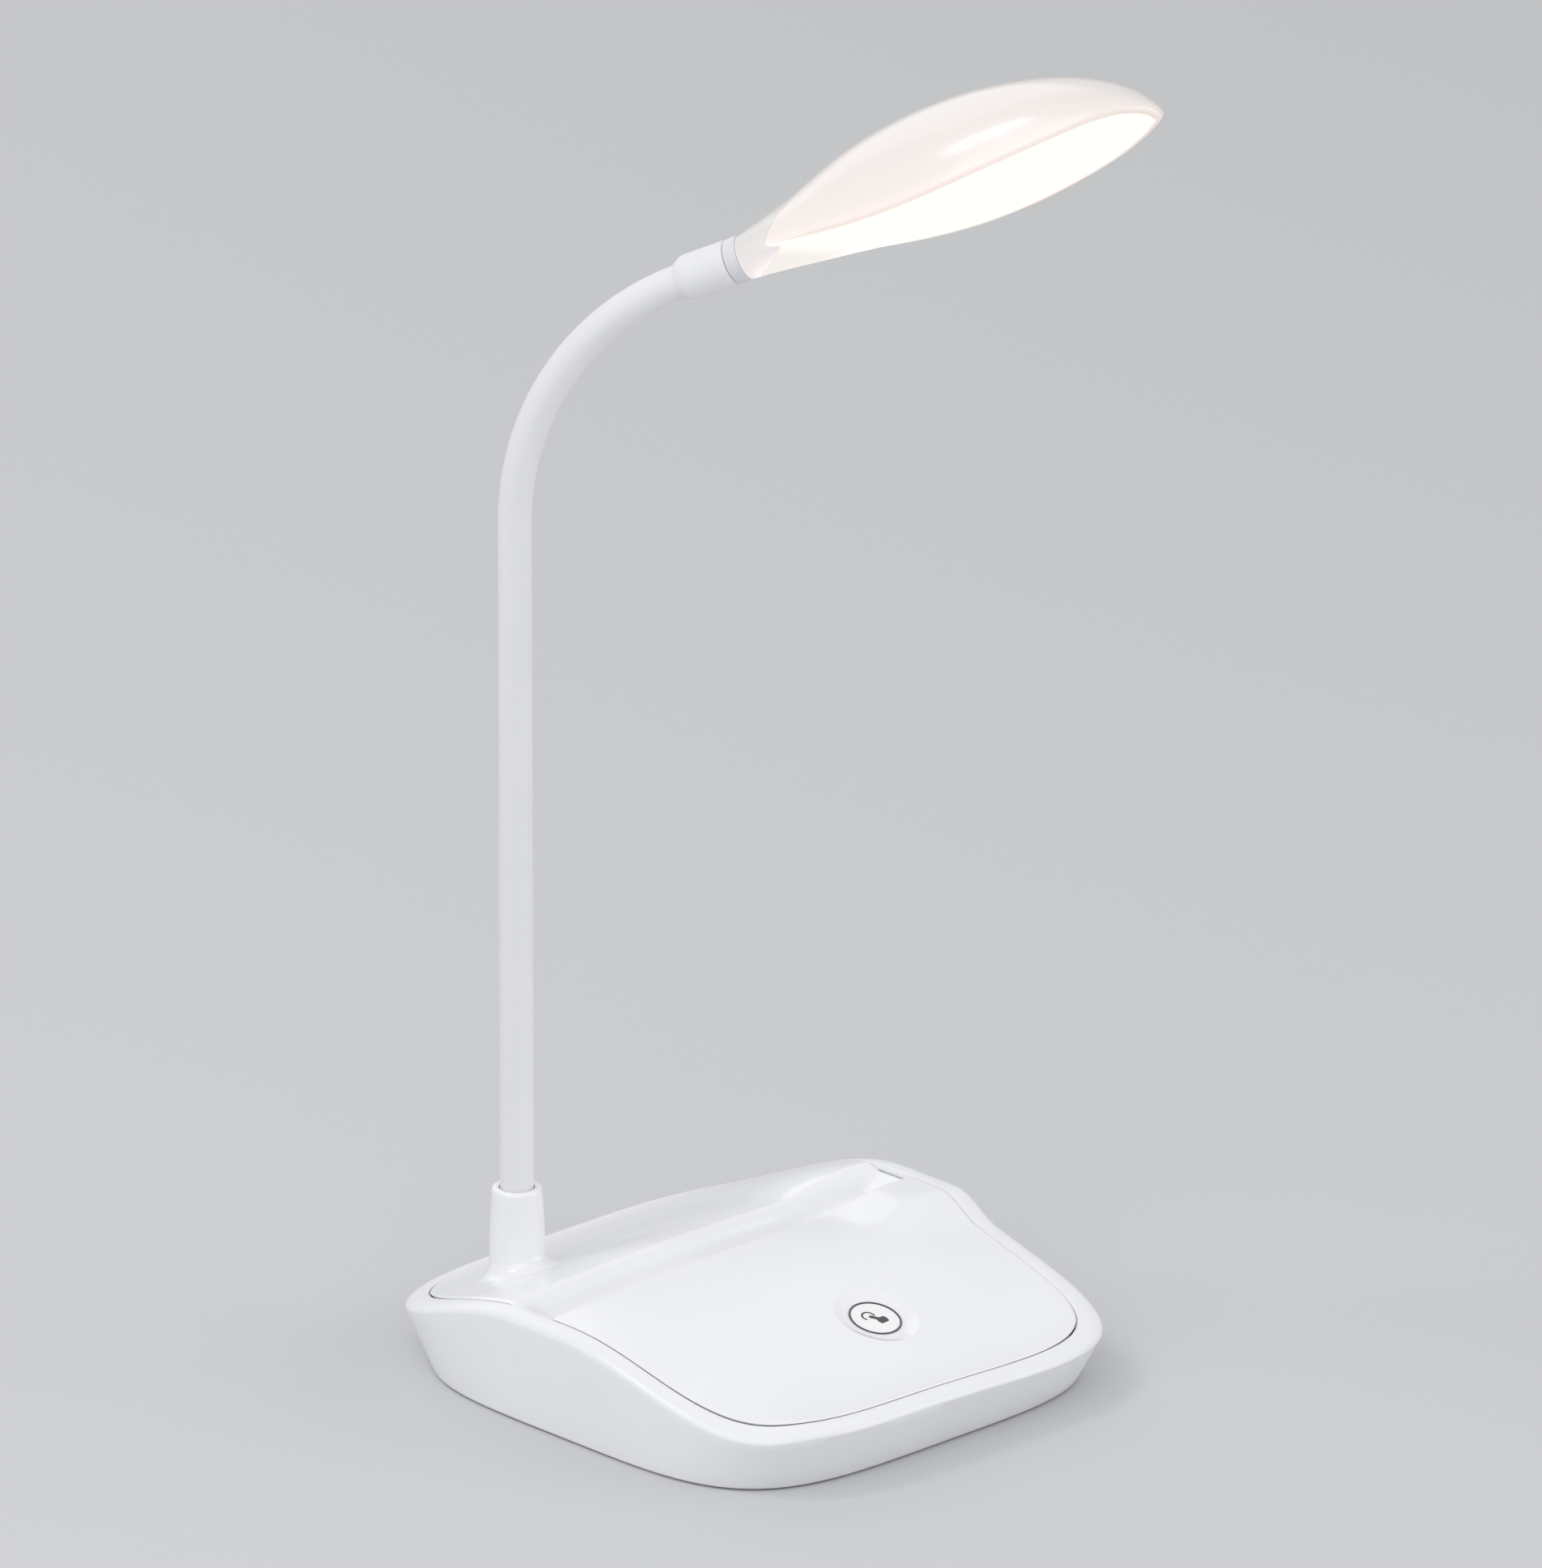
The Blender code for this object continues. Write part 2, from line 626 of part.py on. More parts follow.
def collar_shape():
    """Flared collar that stands on the deck round the arm."""
    sunk = -DECK_THICKNESS / 2
    lip = COLLAR_RADIUS - COLLAR_TOP_RADIUS
    profile = [(0, COLLAR_HEIGHT), (COLLAR_TOP_RADIUS, COLLAR_HEIGHT),
               (COLLAR_RADIUS - lip / 2, COLLAR_HEIGHT - lip / 2)]
    for step in range(5):
        share = step / 4
        radius = COLLAR_RADIUS + (COLLAR_FLARE - COLLAR_RADIUS) * (1 - math.cos(share * math.pi / 2))
        profile.append((radius, COLLAR_FLARE_HEIGHT * (1 - math.sin(share * math.pi / 2))))
    profile += [(COLLAR_FLARE, sunk), (0, sunk)]
    return turned("collar", profile, None, Matrix.Translation(arm_root()), group=GUIDES)


def arm_bore():
    """Bore of the collar: wide for the sleeve, narrow for the stud below it."""
    floor = -(DECK_THICKNESS + COLLAR_FLARE)
    profile = [(0, COLLAR_HEIGHT + OVERRUN), (SLEEVE_RADIUS + GAP, COLLAR_HEIGHT + OVERRUN),
               (SLEEVE_RADIUS + GAP, DECK_THICKNESS), (STUD_RADIUS + GAP, DECK_THICKNESS),
               (STUD_RADIUS + GAP, floor), (0, floor)]
    return turned("arm_bore", profile, None, Matrix.Translation(arm_root()), group=GUIDES)


def button_frame():
    """Frame on the deck at the button, its Z axis along the deck's normal."""
    step = BUTTON_RADIUS
    rise_x = deck_height(BUTTON_X + step, BUTTON_Y) - deck_height(BUTTON_X - step, BUTTON_Y)
    rise_y = deck_height(BUTTON_X, BUTTON_Y + step) - deck_height(BUTTON_X, BUTTON_Y - step)
    normal = Vector((-rise_x, -rise_y, 2 * step)).normalized()
    turn = normal.to_track_quat("Z", "Y").to_matrix().to_4x4()
    spot = Vector((BUTTON_X, BUTTON_Y, deck_height(BUTTON_X, BUTTON_Y)))
    return Matrix.Translation(spot) @ turn


def button_cup():
    """Cup under the deck that the button and its ring sit in."""
    outer = BUTTON_RADIUS + BUTTON_RING_WIDTH + 2 * GAP + BUTTON_CUP_WALL
    profile = rod_profile(outer, -BUTTON_CUP_DEPTH, -DECK_THICKNESS / 2)
    return turned("button_cup", profile, None, button_frame(), group=GUIDES)


def button_cut():
    """Dish round the button, the pocket for it and the hole for the touch spring."""
    pocket = BUTTON_RADIUS + BUTTON_RING_WIDTH + 2 * GAP
    floor = -BUTTON_CUP_DEPTH + BUTTON_CUP_WALL
    hole = TOUCH_COIL_RADIUS + TOUCH_WIRE + 2 * GAP
    profile = [(0, OVERRUN), (BUTTON_DISH_RADIUS, OVERRUN), (BUTTON_DISH_RADIUS, 0)]
    for step in range(1, 4):
        share = step / 3
        radius = BUTTON_DISH_RADIUS + (pocket - BUTTON_DISH_RADIUS) * share
        profile.append((radius, -BUTTON_DISH_DEPTH * math.sin(share * math.pi / 2)))
    profile += [(pocket, floor), (hole, floor), (hole, -2 * BUTTON_CUP_DEPTH),
                (0, -2 * BUTTON_CUP_DEPTH)]
    return turned("button_cut", profile, None, button_frame(), group=GUIDES)


def touch_button():
    """White button disc and the dark ring round it."""
    place = button_frame()
    face = -BUTTON_DISH_DEPTH + GAP
    floor = -BUTTON_CUP_DEPTH + BUTTON_CUP_WALL + GAP
    crown = BUTTON_THICKNESS / 6
    profile = [(0, face + crown), (BUTTON_RADIUS * 0.6, face + crown * 0.7),
               (BUTTON_RADIUS * 0.95, face + crown * 0.2), (BUTTON_RADIUS, face - crown),
               (BUTTON_RADIUS, floor), (0, floor)]
    disc = turned("touch_button", profile, BUTTON_WHITE, place)
    outer = BUTTON_RADIUS + BUTTON_RING_WIDTH + GAP
    ring = turned("button_ring", tube_profile(outer, BUTTON_RADIUS + GAP, floor, face), MARK_GREY,
                  place, ring=True)
    return [disc, ring]


def plate_top():
    """Height of the bottom plate's inner face."""
    return FOOT_PROUD + PLATE_THICKNESS


def screw_places():
    """Where the four base screws stand."""
    return [(side * SCREW_X, y) for y in (SCREW_FRONT_Y, SCREW_REAR_Y) for side in (-1, 1)]


def foot_places():
    """Where the four rubber feet stand."""
    return [(side * FOOT_X, end * FOOT_Y) for end in (-1, 1) for side in (-1, 1)]


def bottom_plate():
    """Plate that closes the base, with recesses for the feet and standoffs for the boards."""
    turns = round_trip()
    rings = [[foot_point(a, WALL + GAP, z) for a in turns] for z in (FOOT_PROUD, plate_top())]
    plate = loft("bottom_plate", rings, WALL_WHITE)
    board = BOARD_HEIGHT + plate_top()
    for index, (x, y) in enumerate(standoff_places(), 1):
        post = turned(f"standoff_{index}", rod_profile(STANDOFF_RADIUS, plate_top() - OVERRUN / 2,
                      board - GAP), None, Matrix.Translation((x, y, 0)), SMALL_TURN_STEPS,
                      group=GUIDES)
        combine(plate, post, "UNION")
    for index, (x, y) in enumerate(foot_places(), 1):
        recess = rod_profile(FOOT_PAD_RADIUS + GAP, 0, FOOT_PROUD + FOOT_RECESS)
        combine(plate, turned(f"foot_recess_{index}", recess, None, Matrix.Translation((x, y, 0)),
                              group=GUIDES), "DIFFERENCE")
    for index, (x, y) in enumerate(screw_places(), 1):
        head = FOOT_PROUD + SCREW_HEAD_HEIGHT
        profile = [(0, plate_top() + OVERRUN / 2), (SCREW_RADIUS + GAP, plate_top() + OVERRUN / 2),
                   (SCREW_RADIUS + GAP, head), (SCREW_HEAD_RADIUS + GAP, head),
                   (SCREW_HEAD_RADIUS + GAP, 0), (0, 0)]
        combine(plate, turned(f"screw_hole_{index}", profile, None, Matrix.Translation((x, y, 0)),
                              SMALL_TURN_STEPS, group=GUIDES), "DIFFERENCE")
    return plate


def feet_and_screws():
    """Four rubber feet and the four screws that hold the base together."""
    made = []
    high = FOOT_PROUD + FOOT_RECESS - GAP
    inner = FOOT_PAD_RADIUS - FOOT_PAD_CHAMFER
    profile = [(0, high), (FOOT_PAD_RADIUS, high), (FOOT_PAD_RADIUS, FOOT_PAD_CHAMFER), (inner, 0),
               (0, 0)]
    for index, (x, y) in enumerate(foot_places(), 1):
        made.append(turned(f"foot_{index}", profile, RUBBER, Matrix.Translation((x, y, 0)),
                           SMALL_TURN_STEPS))
    head_top = FOOT_PROUD + SCREW_HEAD_HEIGHT - GAP
    tip = plate_top() + SCREW_BITE - GAP
    profile = [(0, tip), (SCREW_RADIUS / 2, tip), (SCREW_RADIUS, tip - SCREW_RADIUS),
               (SCREW_RADIUS, head_top), (SCREW_HEAD_RADIUS, head_top),
               (SCREW_HEAD_RADIUS, FOOT_PROUD + GAP), (0, FOOT_PROUD + GAP)]
    for index, (x, y) in enumerate(screw_places(), 1):
        made.append(turned(f"base_screw_{index}", profile, STEEL, Matrix.Translation((x, y, 0)),
                           SMALL_TURN_STEPS))
    return made


def battery_and_cradle():
    """Round battery cell lying across the base in an open cradle."""
    inner = BATTERY_RADIUS + GAP
    outer = inner + CRADLE_WALL
    axis_z = plate_top() + GAP + outer
    turn = Matrix.Rotation(math.pi / 2, 4, "Y")
    place = Matrix.Translation((BATTERY_X - BATTERY_LENGTH / 2, BATTERY_Y, axis_z)) @ turn
    body = BATTERY_LENGTH - BATTERY_TIP_LENGTH
    profile = [(0, BATTERY_LENGTH), (BATTERY_TIP_RADIUS, BATTERY_LENGTH), (BATTERY_TIP_RADIUS, body),
               (BATTERY_RADIUS, body), (BATTERY_RADIUS, 0), (0, 0)]
    cell = turned("battery_cell", profile, CELL_BLUE, place)
    half = math.radians(CRADLE_OPEN_DEG) / 2
    arc = [-math.pi / 2 - half + 2 * half * i / CRADLE_STEPS for i in range(CRADLE_STEPS + 1)]
    section = [(outer * math.cos(a), outer * math.sin(a)) for a in arc]
    section += [(inner * math.cos(a), inner * math.sin(a)) for a in reversed(arc)]
    ends = (BATTERY_X - CRADLE_LENGTH / 2, BATTERY_X + CRADLE_LENGTH / 2)
    rings = [[Vector((x, BATTERY_Y + y, axis_z + z)) for y, z in section] for x in ends]
    return [cell, loft("battery_cradle", rings, NATURAL)]


def ballast_plate():
    """Steel plate on the bottom of the base that keeps the lamp from tipping."""
    z = plate_top() + GAP + BALLAST_THICKNESS / 2
    return box("ballast_plate", (0, BALLAST_Y, z),
               (BALLAST_LENGTH, BALLAST_WIDTH, BALLAST_THICKNESS), DARK_STEEL)


def board_y():
    """Where the control board lies, under the touch button."""
    return BUTTON_Y - BOARD_WIDTH / 6


def standoff_places():
    """Where the control board's four standoffs stand."""
    reach_x = BOARD_LENGTH / 2 - STANDOFF_RADIUS
    reach_y = BOARD_WIDTH / 2 - STANDOFF_RADIUS
    return [(BUTTON_X + sx * reach_x, board_y() + sy * reach_y) for sx in (-1, 1) for sy in (-1, 1)]


def control_board():
    """Control board with its chips and the pad that the touch spring stands on."""
    low = plate_top() + BOARD_HEIGHT
    high = low + BOARD_THICKNESS
    board = box("control_board", (BUTTON_X, board_y(), (low + high) / 2),
                (BOARD_LENGTH, BOARD_WIDTH, BOARD_THICKNESS), BOARD_GREEN)
    blocks = [(BUTTON_X + side * BOARD_LENGTH / 3, board_y(), CHIP_SIZE, CHIP_HEIGHT)
              for side in (-1, 1)]
    foot = spring_foot()
    blocks.append((foot.x, foot.y, PAD_SIZE, PAD_HEIGHT))
    for index, (x, y, size, tall) in enumerate(blocks, 1):
        chip = box(f"chip_{index}", (x, y, high + (tall - BOARD_THICKNESS / 2) / 2),
                   (size, size, tall + BOARD_THICKNESS / 2), None, GUIDES)
        combine(board, chip, "UNION")
    return board


def spring_foot():
    """Point on the control board's pad under the touch spring."""
    frame = button_frame()
    axis = frame.to_3x3() @ Vector((0, 0, 1))
    start = frame.translation
    pad = plate_top() + BOARD_HEIGHT + BOARD_THICKNESS + PAD_HEIGHT
    return start + axis * ((pad - start.z) / axis.z)


def touch_spring():
    """Coil spring that carries the touch signal from the button to the board."""
    frame = button_frame()
    top = frame @ Vector((0, 0, -BUTTON_CUP_DEPTH + BUTTON_CUP_WALL - TOUCH_WIRE))
    foot = spring_foot()
    slack = TOUCH_WIRE + GAP + TOUCH_COIL_RADIUS * math.tan(frame.to_euler().to_quaternion().angle)
    bottom = Vector((foot.x, foot.y, foot.z + slack))
    axis = (top - bottom).normalized()
    side = axis.orthogonal().normalized()
    across = axis.cross(side)
    count = TOUCH_COIL_TURNS * TOUCH_COIL_POINTS
    curve = bpy.data.curves.new("touch_spring", "CURVE")
    curve.dimensions = "3D"
    curve.bevel_depth = TOUCH_WIRE / 2
    curve.bevel_resolution = 1
    curve.use_fill_caps = True
    line = curve.splines.new("POLY")
    line.points.add(count)
    for i in range(count + 1):
        turn = 2 * math.pi * i / TOUCH_COIL_POINTS
        spot = bottom.lerp(top, i / count)
        spot += TOUCH_COIL_RADIUS * (math.cos(turn) * side + math.sin(turn) * across)
        line.points[i].co = (*spot, 1)
    obj = bpy.data.objects.new("touch_spring", curve)
    PARTS.objects.link(obj)
    curve.materials.append(STEEL)
    return obj


def port_board_z():
    """Height of the port board's underside."""
    return PORT_CENTRE_Z - PORT_HEIGHT / 2 - GAP - BOARD_THICKNESS


def port_board_y():
    """Where the middle of the port board lies behind the rear wall, whichever way that leans."""
    nearest = min(rear_wall_y(FOOT_PROUD), rear_wall_y(PORT_CENTRE_Z + PORT_HEIGHT))
    return nearest - WALL - 2 * GAP - PORT_BOARD_WIDTH / 2


def port_shape(name, grow, start, length, group=None):
    """Round-ended block of the charging port, from a start behind the wall inwards."""
    radius = PORT_HEIGHT / 2 + grow
    reach = PORT_WIDTH / 2 + grow - radius
    section = []
    for side, base in ((1, -math.pi / 2), (-1, math.pi / 2)):
        for i in range(PORT_CORNER_STEPS + 1):
            turn = base + math.pi * i / PORT_CORNER_STEPS
            section.append((side * reach + radius * math.cos(turn), radius * math.sin(turn)))
    face = rear_wall_y(PORT_CENTRE_Z)
    rings = [[Vector((PORT_X + x, face + y, PORT_CENTRE_Z + z)) for x, z in section]
             for y in (start, -length)]
    return loft(name, rings, None if group else STEEL, group)


def charging_port():
    """Metal shell of the charging port, its tongue, its board and the light pipe beside it."""
    port = port_shape("charging_port", 0, -GAP, PORT_LENGTH)
    hollow = port_shape("port_hollow", -PORT_SHELL, OVERRUN, PORT_LENGTH - 2 * PORT_SHELL, GUIDES)
    combine(port, hollow, "DIFFERENCE")
    face = rear_wall_y(PORT_CENTRE_Z)
    tongue = box("port_tongue", (PORT_X, face - PORT_LENGTH / 2 - PORT_SHELL, PORT_CENTRE_Z),
                 (PORT_WIDTH - PORT_HEIGHT, PORT_LENGTH - 4 * PORT_SHELL, PORT_SHELL * 2), None,
                 GUIDES)
    combine(port, tongue, "UNION")
    board = box("port_board", (PORT_X, port_board_y(), port_board_z() + BOARD_THICKNESS / 2),
                (PORT_BOARD_LENGTH, PORT_BOARD_WIDTH, BOARD_THICKNESS), BOARD_GREEN)
    profile = [(0, 0), (LIGHT_PIPE_RADIUS, -LIGHT_PIPE_RADIUS / 3),
               (LIGHT_PIPE_RADIUS, -LIGHT_PIPE_LENGTH), (0, -LIGHT_PIPE_LENGTH)]
    pipe = turned("charge_light_pipe", profile, CLEAR, rear_place(PORT_X + LIGHT_PIPE_OFFSET),
                  SMALL_TURN_STEPS)
    return [port, board, pipe]


BEND_ANGLE = math.radians(90 - HEAD_PITCH_DEG)
BEND_SIDE = Vector((math.sin(math.radians(BEND_AZIMUTH_DEG)),
                    -math.cos(math.radians(BEND_AZIMUTH_DEG)), 0))
BEND_AXIS = Vector((0, 0, 1)).cross(BEND_SIDE)
ARM_LENGTH = ARM_STRAIGHT + BEND_RADIUS * BEND_ANGLE


def arm_frame(length):
    """Frame on the arm's centre line: Z along the arm, X along the axis that it bends about."""
    turn = min(max(length - ARM_STRAIGHT, 0) / BEND_RADIUS, BEND_ANGLE)
    past = length - ARM_STRAIGHT - BEND_RADIUS * turn
    ahead = Matrix.Rotation(turn, 3, BEND_AXIS) @ Vector((0, 0, 1))
    centre = Vector((ARM_X, ARM_Y, 0)) + BEND_SIDE * BEND_RADIUS * (1 - math.cos(turn))
    centre.z = ARM_STRAIGHT + BEND_RADIUS * math.sin(turn)
    centre += ahead * past
    frame = Matrix((BEND_AXIS, ahead.cross(BEND_AXIS), ahead)).transposed().to_4x4()
    frame.translation = centre
    return frame


def circle_at(frame, radius, height, sides):
    """Ring of points round a frame's Z axis."""
    return [frame @ Vector((radius * math.cos(2 * math.pi * i / sides),
                            radius * math.sin(2 * math.pi * i / sides), height))
            for i in range(sides)]


def ball_height(ball, radius):
    """Height above the centre at which a ball has the given radius."""
    return math.sqrt(ball ** 2 - radius ** 2)


def joint_lengths():
    """Lengths along the arm at which its joints lie."""
    return [FIRST_JOINT + JOINT_PITCH * i for i in range(JOINT_COUNT)]


def middle_lengths(start, end):
    """Lengths along the arm at which a link that lies in the bend has rings."""
    low = max((start or 0) + 2 * BALL_RADIUS, ARM_STRAIGHT)
    high = ARM_LENGTH if end is None else end - BALL_RADIUS
    if high <= low:
        return []
    return [low + (high - low) * i / BEND_RINGS for i in range(BEND_RINGS + 1)]


def sleeve_link(index, start, end):
    """One stretch of the arm's sleeve, hollow below and domed above where it meets the next."""
    middle = (SLEEVE_RADIUS + SLEEVE_BORE) / 2
    bores, skins = [], []
    if start is None:
        foot = arm_root().z + DECK_THICKNESS + GAP
        skins.append(circle_at(arm_frame(foot), SLEEVE_RADIUS, 0, SLEEVE_SIDES))
        bores.append(circle_at(arm_frame(foot), SLEEVE_BORE, 0, SLEEVE_SIDES))
        start = foot
    else:
        hollow = BALL_RADIUS + GAP
        low = arm_frame(start)
        skins.append(circle_at(low, middle, ball_height(hollow, middle), SLEEVE_SIDES))
        skins.append(circle_at(low, SLEEVE_RADIUS, ball_height(hollow, SLEEVE_RADIUS), SLEEVE_SIDES))
        bores.append(circle_at(low, SLEEVE_BORE, ball_height(hollow, SLEEVE_BORE), SLEEVE_SIDES))
    between = middle_lengths(start, end)
    skins += [circle_at(arm_frame(s), SLEEVE_RADIUS, 0, SLEEVE_SIDES) for s in between]
    bores += [circle_at(arm_frame(s), SLEEVE_BORE, 0, SLEEVE_SIDES) for s in between]
    if end is None:
        tip = arm_frame(ARM_LENGTH + FERRULE_SOCKET - GAP)
        skins.append(circle_at(tip, SLEEVE_RADIUS, 0, SLEEVE_SIDES))
        bores.append(circle_at(tip, SLEEVE_BORE, 0, SLEEVE_SIDES))
    else:
        high = arm_frame(end)
        skins.append(circle_at(high, SLEEVE_RADIUS, ball_height(BALL_RADIUS, SLEEVE_RADIUS),
                               SLEEVE_SIDES))
        skins.append(circle_at(high, middle, ball_height(BALL_RADIUS, middle), SLEEVE_SIDES))
        bores.append(circle_at(high, SLEEVE_BORE, ball_height(BALL_RADIUS, SLEEVE_BORE),
                               SLEEVE_SIDES))
    return loft(f"arm_sleeve_{index}", skins + bores[::-1], SOFT_WHITE, wrap=True)


def core_link(index, start, end):
    """One stretch of the flexible steel core inside the sleeve."""
    first = BALL_RADIUS + GAP + GAP
    last = ball_height(BALL_RADIUS, SLEEVE_BORE) - 3 * GAP
    low = arm_root().z + DECK_THICKNESS + GAP if start is None else start + first
    high = ARM_LENGTH + FERRULE_SOCKET - GAP if end is None else end + last
    stops = [low] + middle_lengths(start, end) + [high]
    skins = [circle_at(arm_frame(s), CORE_RADIUS, 0, CORE_SIDES) for s in stops]
    bores = [circle_at(arm_frame(s), CORE_BORE, 0, CORE_SIDES) for s in stops]
    return loft(f"arm_core_{index}", skins + bores[::-1], STEEL, wrap=True)


def neck_fixings():
    """Hollow stud under the arm, with the washer and nut that hold it to the deck."""
    root = arm_root()
    under = deck_under_root()
    place = Matrix.Translation((root.x, root.y, 0))
    high = root.z + DECK_THICKNESS - GAP
    low = under - STUD_LENGTH
    stud = turned("arm_stud", tube_profile(STUD_RADIUS, CORE_BORE, low, high), STEEL, place,
                  SMALL_TURN_STEPS, ring=True)
    seat = under - GAP
    washer = turned("arm_washer", tube_profile(WASHER_RADIUS, STUD_RADIUS + GAP,
                    seat - WASHER_THICKNESS, seat), STEEL, place, ring=True)
    seat -= WASHER_THICKNESS + GAP
    nut = turned("arm_nut", rod_profile(NUT_RADIUS, seat - NUT_THICKNESS, seat), STEEL, place,
                 HEX_STEPS)
    thread = turned("nut_thread", rod_profile(STUD_RADIUS + GAP, seat - NUT_THICKNESS - OVERRUN,
                    seat + OVERRUN), None, place, SMALL_TURN_STEPS, group=GUIDES)
    combine(nut, thread, "DIFFERENCE")
    return [stud, washer, nut]


def deck_under_root():
    """Lowest height of the deck's underside round the arm, where the washer seats."""
    ring = [2 * math.pi * i / SMALL_TURN_STEPS for i in range(SMALL_TURN_STEPS)]
    slope = (deck_height(ARM_X, ARM_Y - WASHER_RADIUS) - deck_height(ARM_X, ARM_Y + WASHER_RADIUS))
    tilt = math.atan(slope / (2 * WASHER_RADIUS))
    heights = [deck_height(ARM_X + WASHER_RADIUS * math.cos(a), ARM_Y + WASHER_RADIUS * math.sin(a))
               for a in ring]
    return min(heights) - DECK_THICKNESS / math.cos(tilt)


def head_frame():
    """Frame at the end of the arm: Z along the head, Y towards its crown, X across it."""
    return arm_frame(ARM_LENGTH) @ Matrix.Rotation(math.radians(HEAD_ROLL_DEG), 4, "Z")


def ferrule_parts():
    """Ferrule on the sleeve's end, the ring in front of it and the clip behind the spigot."""
    place = head_frame()
    socket = FERRULE_SOCKET
    web = socket + FERRULE_WEB
    profile = [(FERRULE_RADIUS - FERRULE_CHAMFER / 8, FERRULE_LENGTH),
               (FERRULE_RADIUS, FERRULE_CHAMFER),
               (FERRULE_MOUTH_RADIUS, 0), (SLEEVE_RADIUS + GAP, 0), (SLEEVE_RADIUS + GAP, socket),
               (CORE_BORE, socket), (CORE_BORE, web), (CLIP_RADIUS + GAP, web),
               (CLIP_RADIUS + GAP, clip_top() + GAP), (SPIGOT_RADIUS + GAP, clip_top() + GAP),
               (SPIGOT_RADIUS + GAP, FERRULE_LENGTH)]
    ferrule = turned("ferrule", profile, SOFT_WHITE, place, ring=True)
    low = FERRULE_LENGTH + GAP
    high = FERRULE_LENGTH + RING_LENGTH - GAP
    ring = turned("swivel_ring", tube_profile(RING_RADIUS, SPIGOT_RADIUS + GAP, low, high),
                  RING_GREY, place, ring=True)
    clip_inner = SPIGOT_RADIUS - SPIGOT_GROOVE_DEPTH + GAP
    clip = turned("swivel_clip", tube_profile(CLIP_RADIUS, clip_inner, clip_low() + GAP,
                  clip_top() - GAP), STEEL, place, SMALL_TURN_STEPS, ring=True)
    slot = box("clip_slot", (0, CLIP_RADIUS, (clip_low() + clip_top()) / 2),
               (SPIGOT_RADIUS, 2 * CLIP_RADIUS, SPIGOT_GROOVE + OVERRUN), None, GUIDES, place)
    combine(clip, slot, "DIFFERENCE")
    return [ferrule, ring, clip]


def clip_low():
    """Start of the spigot's groove along the head."""
    return FERRULE_SOCKET + FERRULE_WEB + SPIGOT_TAIL + GAP


def clip_top():
    """End of the spigot's groove along the head."""
    return clip_low() + SPIGOT_GROOVE


def smooth_share(shares, place):
    """Read a smooth curve through evenly spaced shares at a place from 0 to 1."""
    last = len(shares) - 1
    spot = min(max(place, 0), 1) * last
    i = min(int(spot), last - 1)
    part = spot - i
    before = shares[i - 1] if i > 0 else 2 * shares[0] - shares[1]
    after = shares[i + 2] if i + 2 <= last else 2 * shares[last] - shares[last - 1]
    slope_a = (shares[i + 1] - before) / 2
    slope_b = (after - shares[i]) / 2
    rise = shares[i + 1] - shares[i]
    curve = part * part * (3 - 2 * part)
    return (shares[i] + rise * curve + slope_a * part * (1 - part) ** 2
            - slope_b * part * part * (1 - part))


def head_sizes(station):
    """Half width, crown, rim height and belly of the head at a share of its length."""
    place = 2 / math.pi * math.asin(min(max(station, 0), 1))
    half = HEAD_HALF_WIDTH * smooth_share(HALF_WIDTH_SHARES, place)
    crown = HEAD_CROWN * smooth_share(CROWN_SHARES, place)
    rim = HEAD_RIM_SAG * smooth_share(RIM_SHARES, place)
    belly = HEAD_BELLY * smooth_share(BELLY_SHARES, place)
    return half, crown, rim, belly


HEAD_START = FERRULE_LENGTH + RING_LENGTH


def head_point(frame, station, turn):
    """Point of the head's outside at a share of its length and an angle round it."""
    half, crown, rim, belly = head_sizes(station)
    rise = crown - rim if math.sin(turn) >= 0 else belly
    return frame @ Vector((half * math.cos(turn), rim + rise * math.sin(turn),
                           HEAD_START + HEAD_LENGTH * station))


def neck_edge(turn):
    """Share of the head's length at which the neck cover ends, further on at the crown."""
    return NECK_EDGE_SHARE + NECK_EDGE_SLANT_SHARE * math.sin(turn)


def stations_from(start):
    """Shares of the head's length from a start to the tip, closer together at the tip."""
    first = math.asin(start)
    steps = range(HEAD_STATIONS + 1)
    return [math.sin(first + (math.pi / 2 - first) * i / HEAD_STATIONS) for i in steps]


def head_neck():
    """Neck cover that flares from the ring to the shell, with the hollow spigot it turns on."""
    frame = head_frame()
    sides = 2 * HEAD_ARC_STEPS
    turns = [2 * math.pi * i / sides for i in range(sides)]
    steps = (0, 1 / 3, 2 / 3, 1)
    skins = [[head_point(frame, share * neck_edge(t), t) for t in turns] for share in steps]
    inner = [[inset_point(frame, share * neck_edge(t), t, SHELL_WALL) for t in turns]
             for share in steps[1:]]
    groove = SPIGOT_RADIUS - SPIGOT_GROOVE_DEPTH
    bore = SPIGOT_RADIUS - SPIGOT_WALL
    tail = clip_low() - SPIGOT_TAIL
    spigot = [(bore, HEAD_START + SHELL_WALL), (bore, tail), (SPIGOT_RADIUS, tail),
              (SPIGOT_RADIUS, clip_low()), (groove, clip_low()), (groove, clip_top()),
              (SPIGOT_RADIUS, clip_top()), (SPIGOT_RADIUS, HEAD_START)]
    neck = [circle_at(frame, radius, height, sides) for radius, height in spigot]
    return loft("head_neck", skins + inner[::-1] + neck, HEAD_WHITE, wrap=True)


def inset_point(frame, station, turn, inset):
    """Point inside the head's outside by about a wall's thickness."""
    half, crown, rim, belly = head_sizes(station)
    rise = crown - rim if math.sin(turn) >= 0 else belly
    return frame @ Vector(((half - inset) * math.cos(turn), rim + (rise - inset) * math.sin(turn),
                           HEAD_START + HEAD_LENGTH * station))


